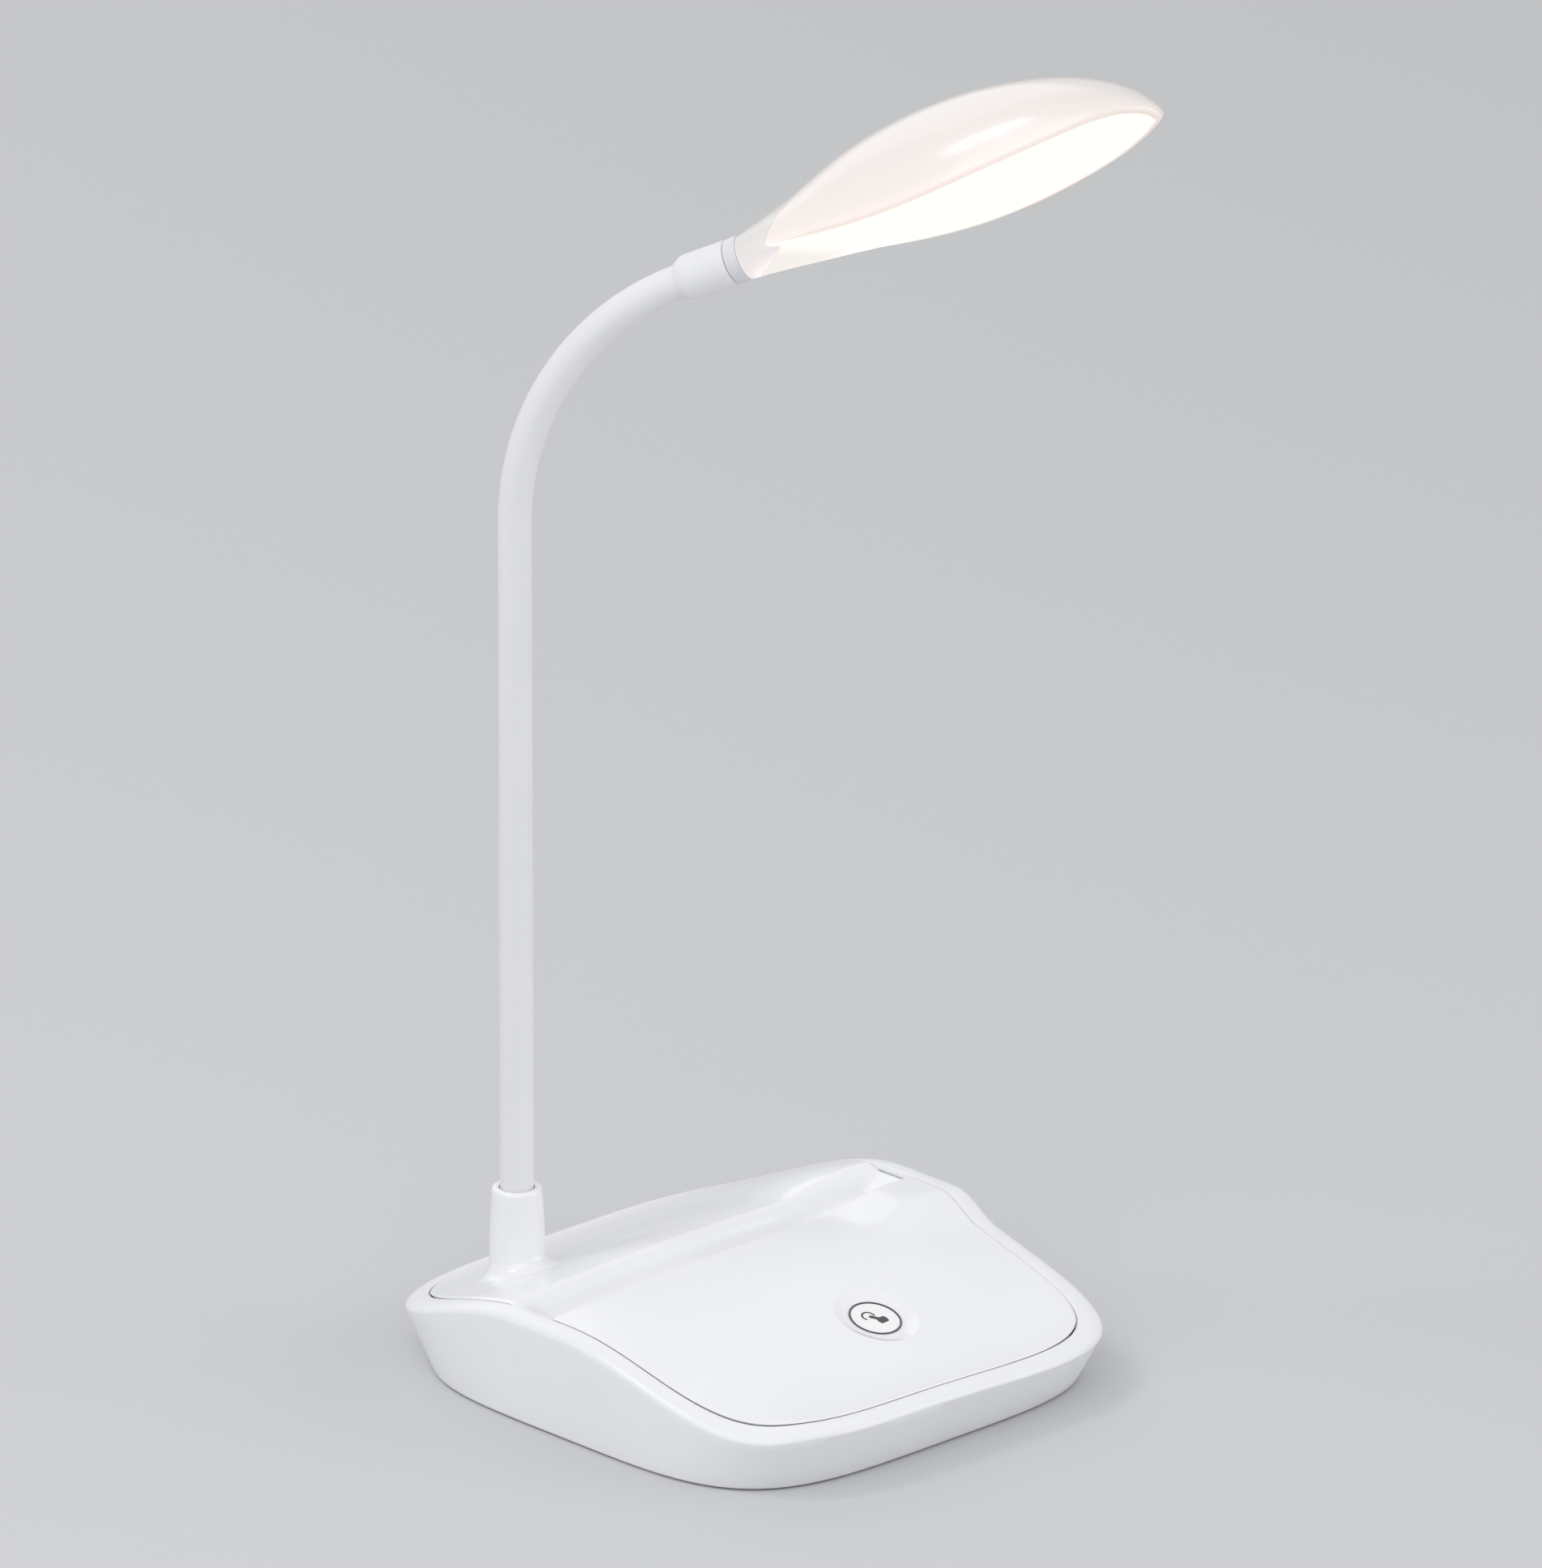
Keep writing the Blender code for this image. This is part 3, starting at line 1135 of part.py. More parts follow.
def head_shell():
    """Upper shell of the head, open below, with two bosses for the light board."""
    frame = head_frame()
    up = frame.to_3x3() @ Vector((0, 1, 0))
    start_gap = GAP / HEAD_LENGTH
    turns = [math.pi * i / HEAD_ARC_STEPS for i in range(HEAD_ARC_STEPS + 1)]
    columns = [stations_from(neck_edge(t) + start_gap) for t in turns]
    rows = [[head_point(frame, columns[j][i], t) for j, t in enumerate(turns)]
            for i in range(HEAD_STATIONS)]
    shell = open_sheet("head_shell", rows, HEAD_WHITE, up, capped=True)
    solidify(shell, SHELL_WALL, -1)
    for index, station in enumerate(led_screw_stations(), 1):
        crown = head_sizes(station)[1]
        place = screw_place(station)
        low = led_board_level() + LED_BOARD_THICKNESS + GAP
        boss = turned(f"led_boss_{index}", rod_profile(LED_BOSS_RADIUS, low,
                      crown - SHELL_WALL / 2), None, place, group=GUIDES)
        combine(shell, boss, "UNION")
        hole = rod_profile(LED_SCREW_RADIUS + GAP, low - OVERRUN, low + LED_SCREW_EDGE)
        bore = turned(f"led_bore_{index}", hole, None, place, SMALL_TURN_STEPS, group=GUIDES)
        combine(shell, bore, "DIFFERENCE")
    return shell


def slanted(station, inset):
    """Inset across the head that keeps a given distance from its slanting edge."""
    step = 1 / HEAD_STATIONS ** 2
    rise = head_sizes(station + step)[0] - head_sizes(station - step)[0]
    return inset * math.hypot(1, rise / (2 * step * HEAD_LENGTH))


def diffuser():
    """Opal lens that closes the head's underside, bellied along its middle."""
    frame = head_frame()
    down = frame.to_3x3() @ Vector((0, -1, 0))
    inset = SHELL_WALL + 2 * GAP
    start_gap = 2 * GAP / HEAD_LENGTH
    across = [2 * i / LENS_COLUMNS - 1 for i in range(LENS_COLUMNS + 1)]
    end = stations_from(NECK_EDGE_SHARE)[-2] - 2 * inset / HEAD_LENGTH
    rows = []
    for i in range(HEAD_STATIONS + 1):
        row = []
        for p in across:
            edge = NECK_EDGE_SHARE - NECK_EDGE_SLANT_SHARE * (1 - p * p) + start_gap
            station = end * stations_from(edge / end)[i]
            half, crown, rim, belly = head_sizes(station)
            narrow = max(half - slanted(station, inset), 0)
            depth = rim - belly * (1 - p * p)
            row.append(frame @ Vector((narrow * p, depth, HEAD_START + HEAD_LENGTH * station)))
        rows.append(row)
    lens = open_sheet("diffuser", rows, LENS_GLOW, down)
    solidify(lens, LENS_THICKNESS, -1)
    return lens


def led_board_level():
    """Height of the light board's underside in the head."""
    return LED_BOARD_RISE


def led_screw_stations():
    """Shares of the head's length at which the light board's screws stand."""
    inset = LED_SCREW_EDGE / HEAD_LENGTH
    return (LED_BOARD_START_SHARE + inset, LED_BOARD_END_SHARE - inset)


def screw_place(station):
    """Frame of a light board screw: Z towards the crown, origin on the head's axis."""
    move = Matrix.Translation((0, 0, HEAD_START + HEAD_LENGTH * station))
    return head_frame() @ move @ Matrix.Rotation(-math.pi / 2, 4, "X")


def led_board():
    """Light board with two rows of lamps under it."""
    frame = head_frame()
    low = led_board_level()
    span = LED_BOARD_END_SHARE - LED_BOARD_START_SHARE
    places = [LED_BOARD_START_SHARE + span * i / 8 for i in range(9)]
    edge = [(LED_BOARD_WIDTH_SHARE * head_sizes(s)[0], HEAD_START + HEAD_LENGTH * s) for s in places]
    outline = edge + [(-x, z) for x, z in reversed(edge)]
    rings = [[frame @ Vector((x, y, z)) for x, z in outline] for y in (low, low + LED_BOARD_THICKNESS)]
    board = loft("led_board", rings, BOARD_WHITE)
    first = HEAD_START + HEAD_LENGTH * LED_BOARD_START_SHARE + LED_MARGIN
    last = HEAD_START + HEAD_LENGTH * LED_BOARD_END_SHARE - LED_MARGIN
    for row in range(LED_ROWS):
        for column in range(LED_COLUMNS):
            z = first + (last - first) * column / (LED_COLUMNS - 1)
            station = (z - HEAD_START) / HEAD_LENGTH
            reach = LED_BOARD_WIDTH_SHARE * head_sizes(station)[0] / 2
            lamp = box(f"led_{row}_{column}", ((2 * row - 1) * reach, low - LED_HEIGHT / 2 + GAP, z),
                       (LED_SIZE, LED_HEIGHT + 2 * GAP, LED_SIZE), None, GUIDES, frame)
            combine(board, lamp, "UNION")
    for index, station in enumerate(led_screw_stations(), 1):
        hole = rod_profile(LED_SCREW_RADIUS + GAP, low - OVERRUN, low + LED_BOARD_THICKNESS + OVERRUN)
        bore = turned(f"led_hole_{index}", hole, None, screw_place(station), SMALL_TURN_STEPS,
                      group=GUIDES)
        combine(board, bore, "DIFFERENCE")
    return board


def led_screws():
    """Two screws that hold the light board to the shell."""
    low = led_board_level() - GAP
    tip = low + LED_BOARD_THICKNESS + LED_SCREW_EDGE
    head = low - LED_SCREW_HEAD_HEIGHT
    profile = [(0, tip), (LED_SCREW_RADIUS, tip), (LED_SCREW_RADIUS, low),
               (LED_SCREW_HEAD_RADIUS, low), (LED_SCREW_HEAD_RADIUS, head), (0, head)]
    return [turned(f"led_screw_{i}", profile, STEEL, screw_place(s), SMALL_TURN_STEPS)
            for i, s in enumerate(led_screw_stations(), 1)]


def hang_on(children, parent):
    """Parent pieces to an empty without moving them."""
    bpy.context.view_layer.update()
    for child in children:
        child.parent = parent
        child.matrix_parent_inverse = parent.matrix_world.inverted()


def joint_empty(name, frame, parent):
    """Make an empty on a joint's axis."""
    empty = bpy.data.objects.new(name, None)
    PARTS.objects.link(empty)
    empty.matrix_world = frame
    bpy.context.view_layer.update()
    if parent:
        hang_on([empty], parent)
    return empty


def footprint_centre():
    """Centre of the whole lamp's box, seen from above."""
    bpy.context.view_layer.update()
    depsgraph = bpy.context.evaluated_depsgraph_get()
    corners = []
    for obj in PARTS.objects:
        if obj.type == "EMPTY":
            continue
        seen = obj.evaluated_get(depsgraph)
        mesh = seen.to_mesh()
        corners += [seen.matrix_world @ vertex.co for vertex in mesh.vertices]
        seen.to_mesh_clear()
    xs = [point.x for point in corners]
    ys = [point.y for point in corners]
    return Vector(((min(xs) + max(xs)) / 2, (min(ys) + max(ys)) / 2, 0))


def build():
    """Make every piece, hang the moving ones on their joints and centre the lamp."""
    root = joint_empty("lamp_base", Matrix.Identity(4), None)
    fixed = [base_housing(), deck_panel(), bottom_plate(), ballast_plate(), control_board(),
             touch_spring()]
    fixed += touch_button() + feet_and_screws() + battery_and_cradle() + charging_port()
    fixed += neck_fixings()
    joints = joint_lengths()
    fixed += [sleeve_link(0, None, joints[0]), core_link(0, None, joints[0])]
    hang_on(fixed, root)
    parent = root
    for index, start in enumerate(joints, 1):
        end = joints[index] if index < len(joints) else None
        parent = joint_empty(f"arm_joint_{index}", arm_frame(start), parent)
        link = [sleeve_link(index, start, end), core_link(index, start, end)]
        if end is None:
            link += ferrule_parts()
        hang_on(link, parent)
    head = joint_empty("head_swivel", head_frame(), parent)
    hang_on([head_neck(), head_shell(), diffuser(), led_board()] + led_screws(), head)
    hang_on(list(GUIDES.objects), root)
    root.location = -footprint_centre()


build()
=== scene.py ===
"""Studio picture of a rechargeable study lamp.

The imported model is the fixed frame. Each sub-assembly below is a class that holds its sizes in
metres, builds its surfaces with numpy and gives them their finish. The lamp stands on a pale
floor under soft light and is seen from the front left, slightly from above.
"""

from __future__ import annotations

import json
import logging
import math
from dataclasses import dataclass
from enum import Enum
from typing import Any

import bmesh
import bpy
import numpy as np
from mathutils import Matrix, Vector

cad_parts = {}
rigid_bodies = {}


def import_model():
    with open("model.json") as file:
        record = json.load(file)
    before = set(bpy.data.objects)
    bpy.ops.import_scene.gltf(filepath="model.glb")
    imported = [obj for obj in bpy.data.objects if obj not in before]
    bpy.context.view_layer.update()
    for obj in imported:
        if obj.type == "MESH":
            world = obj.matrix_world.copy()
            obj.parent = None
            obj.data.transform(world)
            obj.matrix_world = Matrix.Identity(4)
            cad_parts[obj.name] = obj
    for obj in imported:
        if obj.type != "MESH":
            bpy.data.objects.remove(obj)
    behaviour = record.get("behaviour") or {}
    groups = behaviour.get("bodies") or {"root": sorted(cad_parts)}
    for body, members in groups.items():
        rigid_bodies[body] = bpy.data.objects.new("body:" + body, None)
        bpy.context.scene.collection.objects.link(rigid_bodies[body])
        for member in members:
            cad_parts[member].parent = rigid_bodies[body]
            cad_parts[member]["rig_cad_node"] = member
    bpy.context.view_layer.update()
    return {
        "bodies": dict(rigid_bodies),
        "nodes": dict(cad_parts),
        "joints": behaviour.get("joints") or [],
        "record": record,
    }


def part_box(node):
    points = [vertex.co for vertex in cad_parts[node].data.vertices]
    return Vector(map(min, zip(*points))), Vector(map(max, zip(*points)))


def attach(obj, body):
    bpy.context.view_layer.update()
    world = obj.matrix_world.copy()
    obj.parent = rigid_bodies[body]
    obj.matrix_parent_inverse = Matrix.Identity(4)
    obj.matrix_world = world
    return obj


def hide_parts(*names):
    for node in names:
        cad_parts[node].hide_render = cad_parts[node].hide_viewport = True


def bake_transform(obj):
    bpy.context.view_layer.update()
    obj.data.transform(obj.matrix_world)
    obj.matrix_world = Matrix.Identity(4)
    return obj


LOG = logging.getLogger("study_lamp")
MM = 0.001
# Points closer than this, in metres, are one point.
MERGE_DISTANCE = 1e-7
IMAGE_WIDTH = 1904
IMAGE_HEIGHT = 1936
FLOOR_COLOUR = "CFD0D2"
# How far the head is turned about the arm's end at rest.
HEAD_ROLL_DEG = -27.0


class Opening(Enum):
    """What happens to the open ends of a surface."""

    LEFT_OPEN = "left open"
    CAPPED = "capped"


class Body(Enum):
    """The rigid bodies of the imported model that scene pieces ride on."""

    BASE = "base"
    LAST_LINK = "arm_link_6"
    HEAD = "head"


def srgb_to_linear(hex_colour: str) -> tuple[float, float, float, float]:
    """Turn an sRGB hex colour into linear values.

    Args:
        hex_colour: Six hex digits, two for each channel.

    Returns:
        Red, green, blue and an alpha of 1.
    """
    channels = np.array([int(hex_colour[i : i + 2], 16) for i in (0, 2, 4)]) / 255
    low = channels / 12.92
    high = ((channels + 0.055) / 1.055) ** 2.4
    red, green, blue = np.where(channels <= 0.04045, low, high)
    return float(red), float(green), float(blue), 1.0


def ease(share: np.ndarray | float) -> np.ndarray:
    """Raised cosine: half of one minus the cosine of pi times the share, held between 0 and 1.

    Args:
        share: How far along the ramp, 0 at its start and 1 at its end.

    Returns:
        A smooth value from 0 to 1.
    """
    return (1 - np.cos(np.pi * np.clip(share, 0, 1))) / 2


def ramp(value: np.ndarray, start: float, end: float) -> np.ndarray:
    """Raised cosine that is 0 at start and 1 at end.

    Args:
        value: Places to read the ramp at.
        start: Where the ramp is 0.
        end: Where the ramp is 1.

    Returns:
        The ramp's values.
    """
    return ease((value - start) / (end - start))


def quads_of_grid(rows: int, columns: int, wrap_rows: bool, wrap_columns: bool) -> np.ndarray:
    """List the quads between neighbouring points of a grid.

    Args:
        rows: Number of rows of points.
        columns: Number of points in a row.
        wrap_rows: Whether the last row meets the first.
        wrap_columns: Whether the last column meets the first.

    Returns:
        An array with four point numbers for each quad.
    """
    index = np.arange(rows * columns).reshape(rows, columns)
    if wrap_rows:
        index = np.vstack([index, index[:1]])
    if wrap_columns:
        index = np.hstack([index, index[:, :1]])
    corners = (index[:-1, :-1], index[:-1, 1:], index[1:, 1:], index[1:, :-1])
    return np.stack(corners, axis=-1).reshape(-1, 4)


def new_object(name: str, data: bpy.types.ID) -> bpy.types.Object:
    """Link a mesh, a light or a camera to the scene as an object at the origin.

    Args:
        name: Name of the object.
        data: Its mesh, light or camera.

    Returns:
        The new object.
    """
    made = bpy.data.objects.new(name, data)
    bpy.context.scene.collection.objects.link(made)
    return made


def smooth(piece: bpy.types.Object, sharp_deg: float) -> None:
    """Shade a piece smooth and keep the edges that are steeper than an angle.

    Args:
        piece: The piece.
        sharp_deg: Angle between faces above which their edge stays sharp.
    """
    piece.data.shade_smooth()
    piece.data.set_sharp_from_angle(angle=math.radians(sharp_deg))


def surface(
    name: str,
    points: np.ndarray,
    wrap_rows: bool = False,
    wrap_columns: bool = False,
    ends: Opening = Opening.CAPPED,
    sharp_deg: float = 35.0,
    marks: dict[str, np.ndarray] | None = None,
) -> bpy.types.Object:
    """Make a mesh object from a grid of points.

    Quads join neighbouring points, points that coincide at a pole are merged, and open ends are
    closed with one face each where they are capped.

    Args:
        name: Name of the object.
        points: Array of shape rows by columns by 3, in metres.
        wrap_rows: Whether the last row meets the first.
        wrap_columns: Whether the last column meets the first.
        ends: What happens to open ends.
        sharp_deg: Angle above which an edge stays sharp.
        marks: Named values, one for each point, stored as attributes for the finishes.

    Returns:
        The new object.
    """
    rows, columns = points.shape[:2]
    quads = quads_of_grid(rows, columns, wrap_rows, wrap_columns)
    mesh = bpy.data.meshes.new(name)
    mesh.vertices.add(rows * columns)
    mesh.vertices.foreach_set("co", points.astype(np.float32).ravel())
    mesh.loops.add(quads.size)
    mesh.loops.foreach_set("vertex_index", quads.astype(np.int32).ravel())
    mesh.polygons.add(len(quads))
    mesh.polygons.foreach_set("loop_start", np.arange(0, quads.size, 4, dtype=np.int32))
    mesh.update(calc_edges=True)
    for label, values in (marks or {}).items():
        mark = mesh.attributes.new(label, "FLOAT", "POINT")
        mark.data.foreach_set("value", values.astype(np.float32).ravel())
    shape = bmesh.new()
    shape.from_mesh(mesh)
    bmesh.ops.remove_doubles(shape, verts=shape.verts, dist=MERGE_DISTANCE)
    bmesh.ops.dissolve_degenerate(shape, edges=shape.edges, dist=MERGE_DISTANCE)
    if ends is Opening.CAPPED:
        bmesh.ops.holes_fill(shape, edges=[edge for edge in shape.edges if edge.is_boundary])
        bmesh.ops.recalc_face_normals(shape, faces=shape.faces)
    shape.to_mesh(mesh)
    shape.free()
    made = new_object(name, mesh)
    smooth(made, sharp_deg)
    return made


def turn_profile(profile: np.ndarray, sides: int) -> np.ndarray:
    """Turn a profile about the Z axis.

    A point of the profile at radius r and height h becomes the circle (r cos a, r sin a, h).

    Args:
        profile: Rows of radius and height.
        sides: Number of points round the circle.

    Returns:
        A grid of points, one row for each point of the profile.
    """
    angle = 2 * np.pi * np.arange(sides) / sides
    radius, height = profile[:, :1], profile[:, 1:]
    flat = np.zeros_like(angle)
    return np.stack([radius * np.cos(angle), radius * np.sin(angle), height + flat], axis=-1)


def round_corners(corners: list[tuple[float, float, float]], steps: int = 6) -> np.ndarray:
    """Round the corners of a profile.

    Each corner is replaced by a curve from a point at its rounding length before it to one as far
    after it: a quadratic curve with the corner as its middle control point.

    Args:
        corners: Radius, height and rounding length of each corner.
        steps: Number of segments of each rounded corner.

    Returns:
        Rows of radius and height.
    """
    spots = np.array([corner[:2] for corner in corners])
    share = np.linspace(0, 1, steps + 1)[:, None]
    line = [spots[:1]]
    for before, spot, after, corner in zip(spots, spots[1:], spots[2:], corners[1:]):
        arm_in, arm_out = before - spot, after - spot
        start = spot + arm_in * min(corner[2] / np.linalg.norm(arm_in), 0.5)
        end = spot + arm_out * min(corner[2] / np.linalg.norm(arm_out), 0.5)
        curve = (1 - share) ** 2 * start + 2 * share * (1 - share) * spot + share**2 * end
        line.append(curve if corner[2] > 0 else spot[None])
    line.append(spots[-1:])
    return np.vstack(line)


def moved(points: np.ndarray, frame: Matrix) -> np.ndarray:
    """Place points with a 4 by 4 frame.

    Args:
        points: Any array whose last axis is x, y, z.
        frame: The frame to place them in.

    Returns:
        The placed points.
    """
    values = np.array(frame)
    return points @ values[:3, :3].T + values[:3, 3]


def carve(piece: bpy.types.Object, cutter: bpy.types.Object) -> None:
    """Cut a closed shape out of a piece for good and remove the cutter.

    Args:
        piece: The piece that is cut.
        cutter: The closed shape that is taken away.
    """
    step = piece.modifiers.new("carve", "BOOLEAN")
    step.operation = "DIFFERENCE"
    step.solver = "EXACT"
    step.object = cutter
    bpy.context.view_layer.update()
    seen = piece.evaluated_get(bpy.context.evaluated_depsgraph_get())
    result = bpy.data.meshes.new_from_object(seen)
    piece.modifiers.clear()
    piece.data = result
    bpy.data.objects.remove(cutter, do_unlink=True)


def wall(piece: bpy.types.Object, thickness: float, even: bool = False) -> None:
    """Give an open surface a wall on its inner side.

    Args:
        piece: The open surface, its faces looking outwards.
        thickness: Thickness of the wall.
        even: Whether corners keep the full thickness.
    """
    solid = piece.modifiers.new("wall", "SOLIDIFY")
    solid.thickness = thickness
    solid.offset = -1
    solid.use_even_offset = even


def soften_edges(piece: bpy.types.Object, width: float, steep_deg: float = 60.0) -> None:
    """Round the steep edges of a piece.

    Args:
        piece: The piece.
        width: Width of the rounding.
        steep_deg: Angle between faces above which an edge is rounded.
    """
    rounding = piece.modifiers.new("edges", "BEVEL")
    rounding.width = width
    rounding.segments = 3
    rounding.limit_method = "ANGLE"
    rounding.angle_limit = math.radians(steep_deg)


def add_node(
    tree: bpy.types.NodeTree,
    kind: str,
    settings: dict[str, object] | None = None,
    links: dict[str, bpy.types.NodeSocket] | None = None,
) -> bpy.types.Node:
    """Add a shader node with its settings and its incoming links.

    Args:
        tree: Node tree that gets the node.
        kind: Blender's name for the node.
        settings: Properties and input values by name; a name that is an input sets the input.
        links: Sockets that feed the node's inputs, by input name.

    Returns:
        The new node.
    """
    node = tree.nodes.new(kind)
    for name, value in (settings or {}).items():
        if name in node.inputs:
            node.inputs[name].default_value = value
        else:
            setattr(node, name, value)
    for name, socket in (links or {}).items():
        tree.links.new(socket, node.inputs[name])
    return node


@dataclass(frozen=True)
class Grain:
    """Fine relief of a surface: the size of its bumps and how deep they are, in metres."""

    size: float
    depth: float


@dataclass(frozen=True)
class Finish:
    """A real material: its colours, gloss and relief.

    Attributes:
        name: Plain name of the material.
        slot: The record's material slot that it belongs to; not used.
        colour: Main colour, sRGB hex.
        shade: Second colour that the main one drifts to, sRGB hex.
        roughness: Middle roughness.
        drift: Real size of the patches in which colour and gloss drift.
        uneven: How far the roughness drifts up and down.
        waves: Long relief, such as the sink of a moulded wall.
        grain: Fine relief, such as a spark-eroded mould leaves.
        metallic: 1 for a metal.
        ior: Refractive index.
        coat: Weight of a clear top layer.
        coat_roughness: Roughness of that layer.
        specular: How much the bare surface mirrors, 0.5 as its refractive index gives.
        alpha: Opacity.
        glow: Colour of light given off, sRGB hex, where there is any.
        glow_strength: Strength of that light.
        glow_mark: Attribute that scales the light from point to point.
    """

    name: str
    slot: str
    colour: str
    shade: str
    roughness: float
    drift: float = 30 * MM
    uneven: float = 0.03
    waves: Grain = Grain(25 * MM, 0.02 * MM)
    grain: Grain = Grain(0.6 * MM, 0.002 * MM)
    metallic: float = 0.0
    ior: float = 1.5
    coat: float = 0.0
    coat_roughness: float = 0.05
    specular: float = 0.5
    alpha: float = 1.0
    glow: str = ""
    glow_strength: float = 0.0
    glow_mark: str = ""

    def material(self) -> bpy.types.Material:
        """Build the material, or return it if it has been built.

        Object coordinates feed three noises. The broad one drifts the colour and the roughness,
        and the other two are the long and the fine relief.

        Returns:
            The Blender material.
        """
        if self.name in bpy.data.materials:
            return bpy.data.materials[self.name]
        made = bpy.data.materials.new(self.name)
        made.use_nodes = True
        tree = made.node_tree
        tree.nodes.clear()
        place = add_node(tree, "ShaderNodeTexCoord").outputs["Object"]
        patches = self.noise(tree, place, self.drift, detail=2.0)
        mixed = add_node(tree, "ShaderNodeMix", {"data_type": "RGBA"}, {"Factor": patches})
        # This node's number and colour inputs share their names, so the colours go in by number.
        mixed.inputs[6].default_value = srgb_to_linear(self.colour)
        mixed.inputs[7].default_value = srgb_to_linear(self.shade)
        gloss = add_node(
            tree,
            "ShaderNodeMapRange",
            {"To Min": self.roughness - self.uneven, "To Max": self.roughness + self.uneven},
            {"Value": patches},
        )
        relief = self.relief(tree, place)
        settings = {
            "Metallic": self.metallic,
            "Alpha": self.alpha,
            "Coat Weight": self.coat,
            "Coat Roughness": self.coat_roughness,
            "Specular IOR Level": self.specular,
        }
        if not self.metallic:
            settings["IOR"] = self.ior
        links = {"Base Color": mixed.outputs[2], "Roughness": gloss.outputs[0], "Normal": relief}
        shader = add_node(tree, "ShaderNodeBsdfPrincipled", settings, links)
        if self.glow:
            self.add_glow(tree, shader)
        out = add_node(tree, "ShaderNodeOutputMaterial")
        tree.links.new(shader.outputs["BSDF"], out.inputs["Surface"])
        return made

    def noise(
        self, tree: bpy.types.NodeTree, place: bpy.types.NodeSocket, size: float, detail: float
    ) -> bpy.types.NodeSocket:
        """Add a noise whose patches have a real size.

        Args:
            tree: Node tree that gets the noise.
            place: Coordinates that it reads.
            size: Real size of a patch.
            detail: Number of finer layers in it.

        Returns:
            The noise's value.
        """
        settings = {"Scale": 1 / size, "Detail": detail, "Roughness": 0.5}
        made = add_node(tree, "ShaderNodeTexNoise", settings, {"Vector": place})
        return made.outputs[0]

    def relief(
        self, tree: bpy.types.NodeTree, place: bpy.types.NodeSocket
    ) -> bpy.types.NodeSocket:
        """Add the long and the fine relief as two bumps, one on the other.

        Args:
            tree: Node tree that gets them.
            place: Coordinates that they read.

        Returns:
            The bumped normal.
        """
        normal = None
        for bumps, detail in ((self.waves, 1.0), (self.grain, 3.0)):
            height = self.noise(tree, place, bumps.size, detail)
            links = {"Height": height}
            if normal is not None:
                links["Normal"] = normal
            settings = {"Strength": 1.0, "Distance": bumps.depth}
            normal = add_node(tree, "ShaderNodeBump", settings, links).outputs[0]
        return normal

    def add_glow(self, tree: bpy.types.NodeTree, shader: bpy.types.Node) -> None:
        """Let the surface give off light, scaled by an attribute where one is named.

        Args:
            tree: The material's node tree.
            shader: The Principled node.
        """
        shader.inputs["Emission Color"].default_value = srgb_to_linear(self.glow)
        shader.inputs["Emission Strength"].default_value = self.glow_strength
        if self.glow_mark:
            mark = add_node(tree, "ShaderNodeAttribute", {"attribute_name": self.glow_mark})
            level = add_node(tree, "ShaderNodeMath", {"operation": "MULTIPLY"})
            tree.links.new(mark.outputs["Fac"], level.inputs[0])
            level.inputs[1].default_value = self.glow_strength
            tree.links.new(level.outputs[0], shader.inputs["Emission Strength"])


# Glossy ABS out of a polished mould: pure white with soft sink waves and sharp reflections.
POLISHED_ABS = Finish(
    "polished white ABS",
    "gloss_white_abs",
    "F3F4F6",
    "EFF0F3",
    0.16,
    waves=Grain(32 * MM, 0.030 * MM),
    grain=Grain(0.8 * MM, 0.0006 * MM),
    ior=1.53,
    coat=0.25,
)
# The same ABS from a less polished part of the mould: a little greyer, with wider highlights.
SATIN_ABS = Finish(
    "satin white ABS",
    "satin_white_abs",
    "F1F2F4",
    "EDEEF1",
    0.30,
    waves=Grain(28 * MM, 0.020 * MM),
    grain=Grain(0.7 * MM, 0.0015 * MM),
    ior=1.53,
)
# Extruded silicone: matte, slightly soft, with a fine draw texture.
SILICONE = Finish(
    "extruded white silicone",
    "white_silicone",
    "EBEBED",
    "E5E6E9",
    0.52,
    drift=18 * MM,
    uneven=0.05,
    waves=Grain(14 * MM, 0.015 * MM),
    grain=Grain(0.45 * MM, 0.006 * MM),
    ior=1.42,
)
# Semi-gloss warm white ABS of the head, with a painted glow for light from inside through it.
HEAD_ABS = Finish(
    "warm white ABS",
    "warm_white_abs",
    "ECE7E4",
    "E8E2E0",
    0.20,
    waves=Grain(30 * MM, 0.020 * MM),
    grain=Grain(0.8 * MM, 0.001 * MM),
    ior=1.53,
    glow="FFDCC8",
    glow_strength=0.22,
    glow_mark="painted_glow",
)
# The neck's ABS: a little greyer than the shell, with a painted glow that lightens its lower side.
NECK_ABS = Finish(
    "pale warm ABS",
    "warm_white_abs",
    "DDDCD9",
    "D9D7D5",
    0.24,
    waves=Grain(20 * MM, 0.015 * MM),
    grain=Grain(0.8 * MM, 0.001 * MM),
    ior=1.53,
    glow="FFEFF0",
    glow_strength=0.42,
    glow_mark="painted_glow",
)
# Pale grey ABS of the ring.
GREY_ABS = Finish(
    "pale grey ABS",
    "pale_grey_abs",
    "E0E0E5",
    "DADBE1",
    0.34,
    grain=Grain(0.6 * MM, 0.002 * MM),
    ior=1.53,
)
# Opal acrylic: evenly bright where the light board is behind it, a little dimmer at the neck.
OPAL = Finish(
    "opal acrylic",
    "opal_diffuser",
    "CDC8C0",
    "C9C3BA",
    0.35,
    grain=Grain(0.5 * MM, 0.003 * MM),
    ior=1.49,
    glow="FFF9F4",
    glow_strength=0.63,
    glow_mark="board_light",
)
